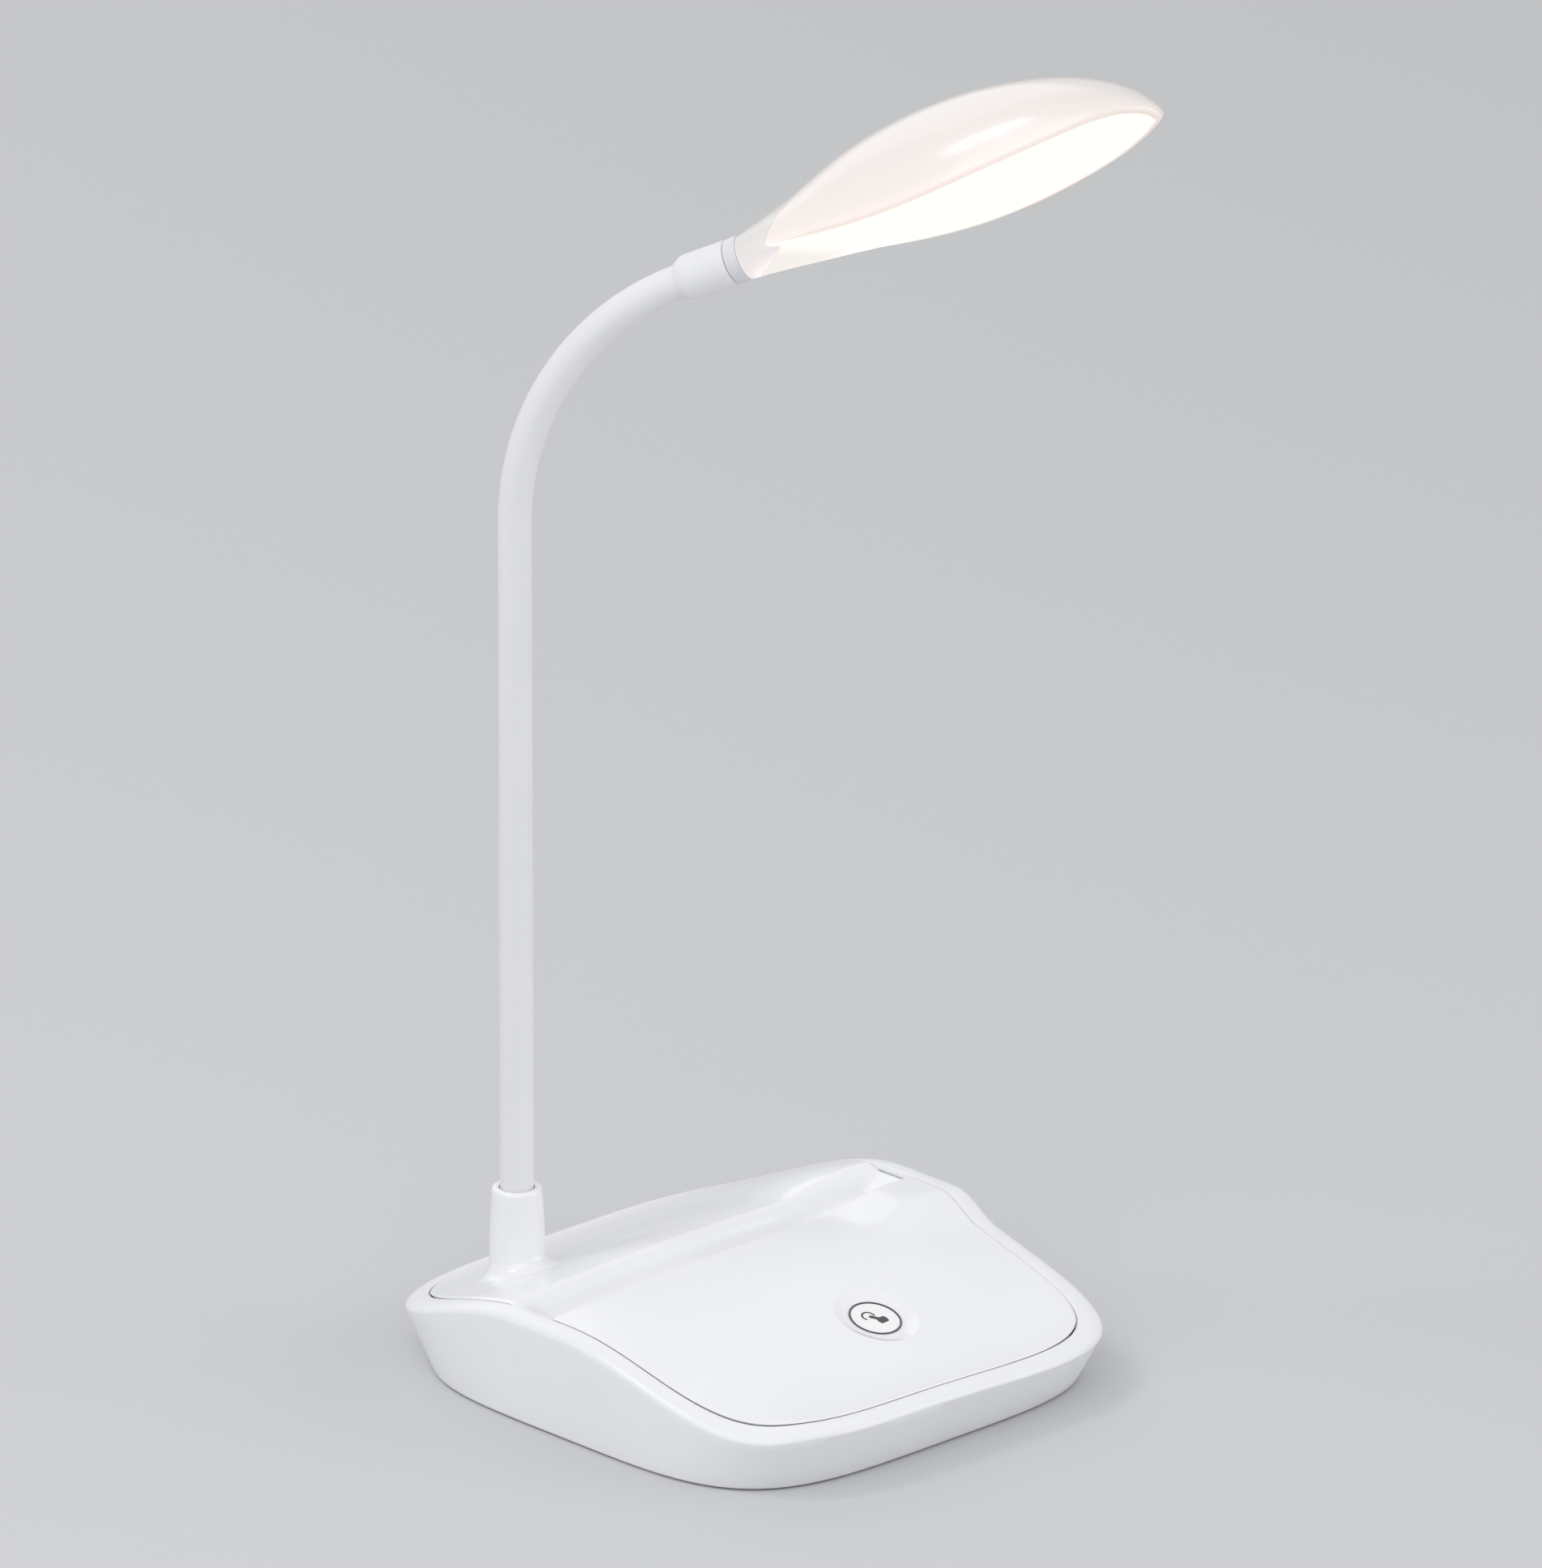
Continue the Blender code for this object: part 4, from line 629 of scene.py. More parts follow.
# Printed dark grey of the button's ring and symbol.
PRINT_GREY = Finish(
    "printed dark grey",
    "dark_grey_ring",
    "515256",
    "47484C",
    0.42,
    drift=4 * MM,
    grain=Grain(0.3 * MM, 0.003 * MM),
)
# Glossy ABS of the touch disc: the whitest piece, with soft reflections.
BUTTON_ABS = Finish(
    "gloss white button ABS",
    "button_white",
    "F8F8F9",
    "F4F4F6",
    0.20,
    waves=Grain(6 * MM, 0.004 * MM),
    grain=Grain(0.5 * MM, 0.0008 * MM),
    ior=1.53,
)
# Moulded rubber of the feet: dull, with a coarse skin.
FOOT_RUBBER = Finish(
    "moulded grey rubber",
    "grey_rubber",
    "48494B",
    "3C3D3F",
    0.82,
    drift=5 * MM,
    grain=Grain(0.35 * MM, 0.02 * MM),
    ior=1.52,
)
# Zinc-plated steel: pale, slightly yellow in patches, brushed by tumbling.
ZINC = Finish(
    "zinc-plated steel",
    "zinc_steel",
    "C1C3C6",
    "B2B2AE",
    0.34,
    drift=4 * MM,
    uneven=0.08,
    grain=Grain(0.25 * MM, 0.004 * MM),
    metallic=1.0,
)
# Steel as it leaves the rolling mill: dull, and browner in patches.
MILL_STEEL = Finish(
    "mill-finish steel",
    "ballast_steel",
    "74767A",
    "64665F",
    0.50,
    drift=15 * MM,
    uneven=0.10,
    grain=Grain(0.5 * MM, 0.01 * MM),
    metallic=1.0,
)
# Lacquer on a glass-fibre board: an even green skin with a half gloss.
GREEN_MASK = Finish(
    "green solder mask",
    "green_board",
    "2B6743",
    "245A3A",
    0.40,
    drift=6 * MM,
    grain=Grain(0.4 * MM, 0.004 * MM),
)
# The light board's white lacquer: slightly creamy, with a half gloss.
WHITE_MASK = Finish(
    "white solder mask",
    "white_board",
    "EDEDE8",
    "E4E4DE",
    0.42,
    drift=8 * MM,
    grain=Grain(0.4 * MM, 0.004 * MM),
)
# Film shrunk round the cell: smooth and blue, with fine ripples.
CELL_WRAP = Finish(
    "blue shrink wrap",
    "cell_wrap",
    "3E7FB1",
    "3674A4",
    0.32,
    drift=12 * MM,
    grain=Grain(0.8 * MM, 0.006 * MM),
)
# Moulded nylon without pigment: milky, slightly warm and rather dull.
NYLON = Finish(
    "moulded natural nylon",
    "natural_nylon",
    "D8D6CE",
    "CFCDC3",
    0.48,
    drift=10 * MM,
    grain=Grain(0.4 * MM, 0.006 * MM),
)
# Moulded clear polycarbonate: sharp reflections, and partly see-through.
LIGHT_PIPE = Finish(
    "clear polycarbonate",
    "clear_light_pipe",
    "F2F5F6",
    "E9EEF0",
    0.10,
    drift=3 * MM,
    ior=1.58,
    alpha=0.6,
)
# Thin gold plating on the inlet's contacts: warm and smooth.
GOLD_CONTACT = Finish(
    "gold-plated contact",
    "zinc_steel",
    "D9B765",
    "CDA956",
    0.28,
    drift=2 * MM,
    metallic=1.0,
)
# Matte paint of the floor: it mirrors nothing, so that no lamp glares in it.
FLOOR_PAINT = Finish(
    "pale matte paint",
    "",
    FLOOR_COLOUR,
    FLOOR_COLOUR,
    0.9,
    drift=400 * MM,
    specular=0.0,
)

HIDDEN_FINISHES = {
    "ballast_plate": MILL_STEEL,
    "battery_cell": CELL_WRAP,
    "battery_cradle": NYLON,
    "control_board": GREEN_MASK,
    "port_board": GREEN_MASK,
    "touch_spring": ZINC,
    "arm_stud": ZINC,
    "arm_washer": ZINC,
    "arm_nut": ZINC,
    "swivel_clip": ZINC,
    "led_board": WHITE_MASK,
    "led_screw_1": ZINC,
    "led_screw_2": ZINC,
    "bottom_plate": SATIN_ABS,
}


def dress(piece: bpy.types.Object, finish: Finish) -> bpy.types.Object:
    """Give a piece its material.

    Args:
        piece: The piece.
        finish: Its finish.

    Returns:
        The same piece.
    """
    piece.data.materials.clear()
    piece.data.materials.append(finish.material())
    return piece


def settle(
    piece: bpy.types.Object, finish: Finish, body: Body, replaced: tuple[str, ...] = ()
) -> bpy.types.Object:
    """Dress a finished piece, hang it on its body and hide the solids that it stands for.

    Args:
        piece: The piece, in place.
        finish: Its finish.
        body: The body that it moves with.
        replaced: Names of the solids that it replaces.

    Returns:
        The same piece.
    """
    dress(piece, finish)
    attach(piece, body.value)
    if replaced:
        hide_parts(*replaced)
    LOG.info("%s: %d faces on %s", piece.name, len(piece.data.polygons), body.value)
    return piece


@dataclass
class BaseForm:
    """Shape of the base: its outlines and the height of its top.

    x runs to the user's right and y to the back, from the middle of the foot; shift_y moves the
    whole base to its place in the frame. A pair of places is where a raised cosine is 0 and where
    it is 1: across the base where the name ends in x, and otherwise along it.
    """

    shift_y: float
    foot_half_x: float = 76.4 * MM
    foot_half_y: float = 77.2 * MM
    foot_squareness: float = 4.1
    rim_half_x: float = 77.3 * MM
    rim_half_y: float = 87.4 * MM
    rim_squareness: float = 4.3
    rim_shift_y: float = 1.0 * MM
    band_width: float = 5.6 * MM
    band_drop: float = 2.9 * MM
    extra_width: float = 1.9 * MM
    extra_x: tuple[float, float] = (30.0 * MM, 66.0 * MM)
    extra_front: tuple[float, float] = (-88.0 * MM, -44.0 * MM)
    extra_rear: tuple[float, float] = (88.0 * MM, 56.0 * MM)
    front_height: float = 18.6 * MM
    hump_height: float = 32.8 * MM
    rear_height: float = 16.5 * MM
    front_slope: tuple[float, float] = (-80.0 * MM, 2.0 * MM)
    rear_slope: tuple[float, float] = (92.0 * MM, 18.0 * MM)
    deck_proud: float = 0.3 * MM
    crown: float = 2.2 * MM
    front_swell: float = 1.9 * MM
    swell_rise: tuple[float, float] = (-80.0 * MM, -45.0 * MM)
    swell_fall: tuple[float, float] = (-34.0 * MM, 5.0 * MM)
    front_arch: float = 2.1 * MM
    arch_rise_x: tuple[float, float] = (-76.0 * MM, -52.0 * MM)
    arch_fall_x: tuple[float, float] = (-22.0 * MM, 50.0 * MM)
    arch_depth: tuple[float, float] = (-84.0 * MM, -56.0 * MM)
    side_dip: float = 1.2 * MM
    dip_x: tuple[float, float] = (20.0 * MM, 70.0 * MM)
    dip_rise: tuple[float, float] = (-60.0 * MM, -28.0 * MM)
    dip_fall: tuple[float, float] = (-26.0 * MM, -4.0 * MM)
    shoulder_height: float = 4.5 * MM
    shoulder_x: tuple[float, float] = (30.0 * MM, 62.0 * MM)
    shoulder_y: tuple[float, float] = (-19.0 * MM, -3.0 * MM)
    groove_lip: tuple[float, float] = (8.0 * MM, 10.5 * MM)
    groove_rest: tuple[float, float] = (20.0 * MM, 27.0 * MM)
    groove_depth: float = 6.2 * MM
    groove_end_depth: float = 1.5 * MM
    groove_fade: float = 11.0 * MM
    seam: float = 0.34 * MM

    @property
    def deck_half_x(self) -> float:
        """Half width of the deck panel."""
        return self.rim_half_x - self.band_width - self.seam

    @property
    def deck_half_y(self) -> float:
        """Half depth of the deck panel."""
        return self.rim_half_y - self.band_width - self.seam

    def rim_height(self, x: np.ndarray, y: np.ndarray) -> np.ndarray:
        """Height of the rim above the desk.

        Raised cosines climb from the front to the hump and fall from it to the rear. The front
        edge arches a little between its corners. On the right the rim dips in front of the hump,
        and a shoulder rises from the hump backwards.

        Args:
            x: Places across the base.
            y: Places along the base.

        Returns:
            Heights.
        """
        rise = self.hump_height - self.front_height
        front = self.front_height + rise * ramp(y, *self.front_slope)
        fall = self.hump_height - self.rear_height
        rear = self.rear_height + fall * ramp(y, *self.rear_slope)
        across = ramp(x, *self.shoulder_x)
        along = ramp(y, *self.shoulder_y) * ramp(y, *self.rear_slope)
        dip = ramp(x, *self.dip_x) * ramp(y, *self.dip_rise) * (1 - ramp(y, *self.dip_fall))
        arch = ramp(x, *self.arch_rise_x) * (1 - ramp(x, *self.arch_fall_x))
        arch = arch * (1 - ramp(y, *self.arch_depth))
        level = np.minimum(front, rear) - self.side_dip * dip + self.front_arch * arch
        return level + self.shoulder_height * across * along

    def drawn_in(self, x: np.ndarray, y: np.ndarray, share: float) -> np.ndarray:
        """Widen the rim's band on the right by drawing what lies inside it to the left.

        The shift is a share of the band's extra width, and fades out towards the middle of the
        base and round its corners.

        Args:
            x: Places across the base.
            y: Places along the base.
            share: 0 at the band's outer edge, 1 at the seam and inside it.

        Returns:
            The new places across.
        """
        near = ramp(x, *self.extra_x) * ramp(y, *self.extra_front)
        return x - self.extra_width * share * near * ramp(y, *self.extra_rear)

    def groove(self, x: np.ndarray, y: np.ndarray) -> np.ndarray:
        """Depth of the groove that a device stands in.

        A steep lip in front and a slanted rest behind, each a raised cosine, round a flat floor;
        towards the sides the depth fades to that of the panel's notched ends.

        Args:
            x: Places across the base.
            y: Places along the base.

        Returns:
            Depths below the crowned deck.
        """
        share = ramp(y, *self.groove_lip) * (1 - ramp(y, *self.groove_rest))
        inner = self.deck_half_x - self.groove_fade
        fade = ramp(np.abs(x), self.deck_half_x, inner)
        extra = self.groove_depth - self.groove_end_depth
        return share * (self.groove_end_depth + extra * fade)

    def deck_height(self, x: np.ndarray, y: np.ndarray) -> np.ndarray:
        """Height of the deck: a little over the rim, plus a crown and a swell, less the groove.

        The crown is a product of two parabolas that are zero at the deck's sides and ends, and
        the swell in front of the hump is another parabola across.

        Args:
            x: Places across the base.
            y: Places along the base.

        Returns:
            Heights.
        """
        round_x = np.clip(1 - (x / self.deck_half_x) ** 2, 0, None)
        round_y = np.clip(1 - ((y - self.rim_shift_y) / self.deck_half_y) ** 2, 0, None)
        swell = ramp(y, *self.swell_rise) * (1 - ramp(y, *self.swell_fall))
        crown = self.crown * round_x * round_y + self.front_swell * round_x * swell
        return self.rim_height(x, y) + self.deck_proud + crown - self.groove(x, y)

    def placed(self, x: np.ndarray, y: np.ndarray, z: np.ndarray) -> np.ndarray:
        """Stack coordinates into points of the frame, with the base's shift."""
        x, y, z = np.broadcast_arrays(x, y + self.shift_y, z)
        return np.stack([x, y, z], axis=-1)

    def point(self, x: float, y: float, z: float) -> Vector:
        """One point of the frame from the base's own coordinates."""
        return Vector((x, y + self.shift_y, z))


def superellipse(
    half_x: float, half_y: float, squareness: float, angle: np.ndarray
) -> tuple[np.ndarray, np.ndarray]:
    """Outline of a rounded square.

    Each coordinate is its half size times the cosine or sine raised to two over the squareness,
    with the sign kept.

    Args:
        half_x: Half width.
        half_y: Half depth.
        squareness: 2 gives an ellipse, more gives squarer corners.
        angle: Angles of the outline's circle.

    Returns:
        x and y of the outline.
    """
    power = 2 / squareness
    cosine, sine = np.cos(angle), np.sin(angle)
    x = half_x * np.sign(cosine) * np.abs(cosine) ** power
    y = half_y * np.sign(sine) * np.abs(sine) ** power
    return x, y


def even_angles(form: BaseForm, count: int, fine_steps: int = 200_000) -> np.ndarray:
    """Angles at which the rim's outline has evenly spaced points.

    The outline's length is summed over many fine steps, and equal shares of it are read back as
    angles.

    Args:
        form: The base's shape.
        count: Number of points round the outline.
        fine_steps: Number of steps that the length is summed over.

    Returns:
        The angles.
    """
    fine = np.linspace(-np.pi / 2, 3 * np.pi / 2, fine_steps + 1)
    x, y = superellipse(form.rim_half_x, form.rim_half_y, form.rim_squareness, fine)
    length = np.concatenate([[0.0], np.cumsum(np.hypot(np.diff(x), np.diff(y)))])
    return np.interp(np.arange(count) / count * length[-1], length, fine)


@dataclass
class BaseHousing:
    """Walls and rim of the base, one closed ring.

    A fillet runs along the wall's foot, a ledge reaches inwards under the deck, and a rebate
    closes its share of the seam. Drops are measured down from the rim's top, and the wall's
    rows are places up the wall as shares.
    """

    form: BaseForm
    points_round: int = 640
    wall: float = 2.2 * MM
    foot_fillet: float = 0.8 * MM
    foot_proud: float = 0.5 * MM
    ledge_width: float = 3.2 * MM
    ledge_thickness: float = 1.6 * MM
    ledge_drop: float = 7.5 * MM
    edge_round: float = 0.35 * MM
    rebate_drop: float = 0.75 * MM
    rebate_height: float = 0.6 * MM
    rebate_share: float = 0.93
    fillet_steps: int = 5
    wall_rows: tuple[float, ...] = (0.3, 0.6, 0.85)
    rim_steps: int = 12
    edge_rows: int = 4
    ledge_reach: float = 0.8

    def foot_ring(self, angle: np.ndarray, inset: float, z: float) -> np.ndarray:
        """Outline at the wall's foot.

        Args:
            angle: Angles of the outline's points.
            inset: How far it is drawn in.
            z: Its height.

        Returns:
            Points of the frame.
        """
        form = self.form
        half_x, half_y = form.foot_half_x - inset, form.foot_half_y - inset
        x, y = superellipse(half_x, half_y, form.foot_squareness, angle)
        return form.placed(x, y, np.full_like(x, z))

    def rim_ring(self, angle: np.ndarray, inset: float, drop: float) -> np.ndarray:
        """Outline at the rim.

        Args:
            angle: Angles of the outline's points.
            inset: How far it is drawn in.
            drop: How far it lies below the rim's top.

        Returns:
            Points of the frame.
        """
        form = self.form
        half_x, half_y = form.rim_half_x - inset, form.rim_half_y - inset
        x, y = superellipse(half_x, half_y, form.rim_squareness, angle)
        y = y + form.rim_shift_y
        x = form.drawn_in(x, y, min(inset / form.band_width, 1.0))
        return form.placed(x, y, form.rim_height(x, y) - drop)

    def rings(self) -> np.ndarray:
        """All rings of the section: foot, fillet, wall, rounded rim, rebate, ledge, inside.

        The fillet is a quadratic curve from the foot to the wall, the wall is straight from foot
        to rim, and the rim is a quarter of an ellipse. A shallow rebate closes the seam, so that
        it shows as a soft line and not as a deep gap. The inner wall ends a wall's thickness
        under the ledge.

        Returns:
            A grid, one row for each ring.
        """
        form, angle = self.form, even_angles(self.form, self.points_round)
        band = form.band_width
        inner_low = self.foot_ring(angle, self.wall, self.foot_proud)
        inner_high = self.rim_ring(angle, self.wall, form.band_drop)
        start = self.foot_ring(angle, self.foot_fillet, self.foot_proud)
        low = self.foot_ring(angle, 0, self.foot_proud)
        high = self.rim_ring(angle, 0, form.band_drop)
        after = low + (high - low) * (self.foot_fillet / (high[:, 2:] - low[:, 2:]))
        rows = [inner_low]
        for part in np.linspace(0, 1, self.fillet_steps + 1):
            rows.append((1 - part) ** 2 * start + 2 * part * (1 - part) * low + part**2 * after)
        for part in self.wall_rows:
            rows.append(after + (high - after) * part)
        for bend in np.linspace(0, np.pi / 2, self.rim_steps + 1):
            inset = (band - self.edge_round) * (1 - math.cos(bend))
            rows.append(self.rim_ring(angle, inset, form.band_drop * (1 - math.sin(bend))))
        for bend in np.linspace(np.pi / 8, np.pi / 2, self.edge_rows):
            inset = band - self.edge_round * (1 - math.sin(bend))
            rows.append(self.rim_ring(angle, inset, self.edge_round * (1 - math.cos(bend))))
        rebate, rebate_low = band + form.seam * self.rebate_share, self.rebate_drop + self.rebate_height
        ledge, ledge_low = band + self.ledge_width, self.ledge_drop + self.ledge_thickness
        steps = (
            (band, self.rebate_drop),
            (rebate, self.rebate_drop),
            (rebate, rebate_low),
            (band, rebate_low),
            (band, self.ledge_drop),
            (ledge, self.ledge_drop),
            (ledge, ledge_low),
        )
        for inset, drop in steps:
            rows.append(self.rim_ring(angle, inset, drop))
        top = ledge_low + self.wall - form.band_drop
        taken = np.clip(top / (inner_high[:, 2:] - inner_low[:, 2:]), 0, self.ledge_reach)
        rows.append(inner_low + (inner_high - inner_low) * (1 - taken))
        return np.stack(rows)

    def build(self) -> bpy.types.Object:
        """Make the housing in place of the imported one."""
        piece = surface("base_walls", self.rings(), wrap_rows=True, wrap_columns=True)
        return settle(piece, SATIN_ABS, Body.BASE, ("base_housing",))


@dataclass
class Deck:
    """Humped top panel with the groove and the dish round the button.

    The columns crowd towards the sides by the bias, a share of a sine. The rows lie closer
    at the groove and a margin round it, and crowd towards the ends between the reach and the
    gap. The slope under the button is read over its step.
    """

    form: BaseForm
    button_x: float = 5.2 * MM
    button_y: float = -43.8 * MM
    button_step: float = 6.8 * MM
    thickness: float = 2.2 * MM
    edge_round: float = 0.5 * MM
    edge_share: float = 0.8
    dish_radius: float = 12.2 * MM
    dish_depth: float = 1.45 * MM
    dish_floor_radius: float = 7.4 * MM
    dish_rows: int = 14
    dish_sides: int = 128
    hole_reach: float = 12.0 * MM
    columns: int = 121
    column_bias: float = 0.35
    row_pitch: float = 1.1 * MM
    groove_pitch: float = 0.35 * MM
    groove_margin: float = 1.0 * MM
    end_gap: float = 0.15 * MM
    end_reach: float = 6.0 * MM
    end_rows: int = 18

    def button_frame(self) -> Matrix:
        """Frame on the deck at the button, its Z axis along the deck's normal.

        The slopes are read a step to each side of the button's centre.

        Returns:
            The frame.
        """
        form, x, y, step = self.form, self.button_x, self.button_y, self.button_step
        rise_x = form.deck_height(x + step, y) - form.deck_height(x - step, y)
        rise_y = form.deck_height(x, y + step) - form.deck_height(x, y - step)
        normal = Vector((-rise_x, -rise_y, 2 * step)).normalized()
        turn = normal.to_track_quat("Z", "Y").to_matrix().to_4x4()
        return Matrix.Translation(form.point(x, y, float(form.deck_height(x, y)))) @ turn

    def row_places(self) -> np.ndarray:
        """Places of the rows from front to rear, closer together at the groove and the ends.

        Returns:
            y of each row, measured from the middle of the deck.
        """
        form = self.form
        end = form.deck_half_y - self.end_gap
        coarse = np.arange(-end, end, self.row_pitch)
        start = form.groove_lip[0] - form.rim_shift_y - self.groove_margin
        stop = form.groove_rest[1] - form.rim_shift_y + self.groove_margin
        coarse = coarse[(coarse < start) | (coarse > stop)]
        near_ends = end - np.geomspace(self.end_gap, self.end_reach, self.end_rows)
        rows = [coarse, np.arange(start, stop, self.groove_pitch), near_ends, -near_ends]
        # Rows that round to the same tenth of a micrometre are one row.
        return np.unique(np.round(np.concatenate([*rows, [-end, end]]), 7))

    def grid(self) -> np.ndarray:
        """Upper face of the deck.

        Each row spans the outline's width at its place, with columns closer together towards the
        sides, and the first and last rows follow the outline itself. A rounding of a quarter
        circle drops the surface at its edge.

        Returns:
            A grid of points.
        """
        form = self.form
        power = form.rim_squareness
        y = self.row_places()
        half = form.deck_half_x * (1 - (np.abs(y) / form.deck_half_y) ** power) ** (1 / power)
        across = np.sin(np.linspace(-np.pi / 2, np.pi / 2, self.columns)) * self.column_bias
        across += np.linspace(-1, 1, self.columns) * (1 - self.column_bias)
        x = half[:, None] * across
        y = np.broadcast_to(y[:, None], x.shape).copy()
        arc = (1 - (np.abs(x[0]) / form.deck_half_x) ** power) ** (1 / power) * form.deck_half_y
        x = np.vstack([x[:1], x, x[-1:]])
        y = np.vstack([-arc[None], y, arc[None]])
        gauge = np.abs(x / form.deck_half_x) ** power + np.abs(y / form.deck_half_y) ** power
        inside = np.clip(1 - gauge ** (1 / power), 0, None) * form.deck_half_x
        missing = np.clip(self.edge_round - inside, 0, self.edge_round)
        drop = self.edge_round - np.sqrt(self.edge_round**2 - missing**2)
        y = y + form.rim_shift_y
        x = form.drawn_in(x, y, 1.0)
        return form.placed(x, y, form.deck_height(x, y) - drop * self.edge_share)

    def dish(self) -> bpy.types.Object:
        """Dished surround of the button.

        Along a radius the surface leaves the deck at the dish's edge and sinks as a sine to a
        flat floor; every point takes the deck's own height there less that depth.

        Returns:
            The piece.
        """
        form = self.form
        angle = 2 * np.pi * np.arange(self.dish_sides) / self.dish_sides
        floor = self.dish_floor_radius
        slope = np.linspace(self.dish_radius, floor, self.dish_rows)
        radius = np.concatenate([slope, [floor / 2, 0.0]])
        share = np.clip((self.dish_radius - radius) / (self.dish_radius - floor), 0, 1)
        depth = self.dish_depth * np.sin(share * np.pi / 2)
        x = self.button_x + radius[:, None] * np.cos(angle)
        y = self.button_y + radius[:, None] * np.sin(angle)
        top = form.placed(x, y, form.deck_height(x, y) - depth[:, None])
        under = top[::-1] - np.array([0, 0, self.thickness / 2])
        return surface("button_dish", np.vstack([top, under]), True, True, sharp_deg=18)

    def build(self) -> None:
        """Make the deck panel, the dish and the round hole that the dish fills."""
        deck = surface("deck_skin", self.grid(), ends=Opening.LEFT_OPEN, sharp_deg=45)
        wall(deck, self.thickness)
        radius, reach = self.dish_radius, self.hole_reach
        hole = np.array([[0, reach], [radius, reach], [radius, -reach], [0, -reach]])
        height = float(self.form.deck_height(self.button_x, self.button_y))
        place = Matrix.Translation(self.form.point(self.button_x, self.button_y, height))
        grid = moved(turn_profile(hole, self.dish_sides), place)
        carve(deck, surface("hole", grid, wrap_columns=True))
        smooth(deck, 30)
        settle(deck, POLISHED_ABS, Body.BASE, ("deck_panel",))
        settle(self.dish(), POLISHED_ABS, Body.BASE)


@dataclass
class TouchButton:
    """White touch disc, the dark ring round it and its symbol.

    Attributes:
        frame: Frame on the deck at the button, Z along the deck's normal.
        sides: Number of points round the disc and the ring.
        radius: Radius of the disc.
        sunk: How far the disc's face lies below the deck, without its rise.
        rise: How far the middle of the face rises over that.
        body: How deep the disc and the ring reach.
        edge: Size of the disc's bevelled edge.
        ring_width: Distance from the disc to the ring's outer edge.
        ring_gap: Gap between disc and ring.
        ring_round: Rounding of the ring's edges.
        print_height: How far a stroke stands over the disc.
        finger: Ends of the stroke for the finger, x and y on the disc.
        finger_width: Its width.
        palm: Ends of the stroke for the hand.
        palm_width: Its width.
        bow_middle: Middle of the bow.
        bow_radii: Half sizes of the bow in x and y.
        bow_turn_deg: Angles at which the bow starts and ends.
        bow_width: Width of the bow's stroke.
        blunt_end: Width of a bar's ends, as a share of its width.
    """

    frame: Matrix
    sides: int = 96
    radius: float = 7.2 * MM
    sunk: float = 1.45 * MM
    rise: float = 0.35 * MM
    body: float = 2.5 * MM
    edge: float = 0.25 * MM
    ring_width: float = 0.52 * MM
    ring_gap: float = 0.05 * MM
    ring_round: float = 0.12 * MM
    print_height: float = 0.03 * MM
    finger: tuple[tuple[float, float], ...] = ((-1.4 * MM, 1.4 * MM), (1.0 * MM, -1.3 * MM))
    finger_width: float = 1.35 * MM
    palm: tuple[tuple[float, float], ...] = ((-0.5 * MM, -1.8 * MM), (3.1 * MM, -1.6 * MM))
    palm_width: float = 2.6 * MM
    bow_middle: tuple[float, float] = (-1.4 * MM, 1.5 * MM)
    bow_radii: tuple[float, float] = (1.9 * MM, 1.8 * MM)
    bow_turn_deg: tuple[float, float] = (-20.0, 220.0)
    bow_width: float = 0.58 * MM
    blunt_end: float = 0.02

    def disc(self) -> bpy.types.Object:
        """Slightly domed disc: its height falls with the square of the radius.

        Returns:
            The piece.
        """
        radius = np.linspace(0, self.radius - self.edge, 8)
        height = self.top(radius)
        face = np.stack([radius, height], axis=-1)
        side = [[self.radius, height[-1] - self.edge], [self.radius, -self.body], [0, -self.body]]
        grid = moved(turn_profile(np.vstack([face, side]), self.sides), self.frame)
        piece = surface("touch_disc", grid, wrap_columns=True)
        return settle(piece, BUTTON_ABS, Body.BASE, ("touch_button",))

    def top(self, radius: np.ndarray) -> np.ndarray:
        """Height of the disc's face in the button's frame."""
        return -self.sunk + self.rise * (1 - 0.5 * (radius / self.radius) ** 2)

    def ring(self) -> bpy.types.Object:
        """Dark ring with rounded edges that stands a little above the disc.

        Returns:
            The piece.
        """
        inner, outer = self.radius + self.ring_gap, self.radius + self.ring_width
        top = -self.sunk + self.rise
        corners = [
            (inner, -self.body, 0),
            (inner, top, self.ring_round),
            (outer, top, self.ring_round),
            (outer, -self.body, 0),
        ]
        grid = moved(turn_profile(round_corners(corners), self.sides), self.frame)
        piece = surface("touch_ring", grid, wrap_rows=True, wrap_columns=True)
        return settle(piece, PRINT_GREY, Body.BASE, ("button_ring",))

    def stroke(self, name: str, line: np.ndarray, width: np.ndarray) -> bpy.types.Object:
        """Print a stroke on the disc: a flat band along a line, rounded by its widths.

        The band's two edges lie half a width to each side of the line, square to its direction,
        and its face lies just above the disc.

        Args:
            name: Name of the piece.
            line: Points of the stroke's middle, x and y on the disc.
            width: Width at each point.

        Returns:
            The piece.
        """
        ahead = np.gradient(line, axis=0)
        ahead /= np.linalg.norm(ahead, axis=1, keepdims=True)
        aside = np.stack([-ahead[:, 1], ahead[:, 0]], axis=-1) * width[:, None] / 2
        left, right = line + aside, line - aside
        low = self.top(np.linalg.norm(line, axis=1)) - self.print_height
        high = low + 2 * self.print_height
        corners = [(left, low), (left, high), (right, high), (right, low)]
        grid = np.stack([np.column_stack([spot, z]) for spot, z in corners], axis=1)
        piece = surface(name, moved(grid, self.frame), wrap_columns=True)
        return settle(piece, PRINT_GREY, Body.BASE)

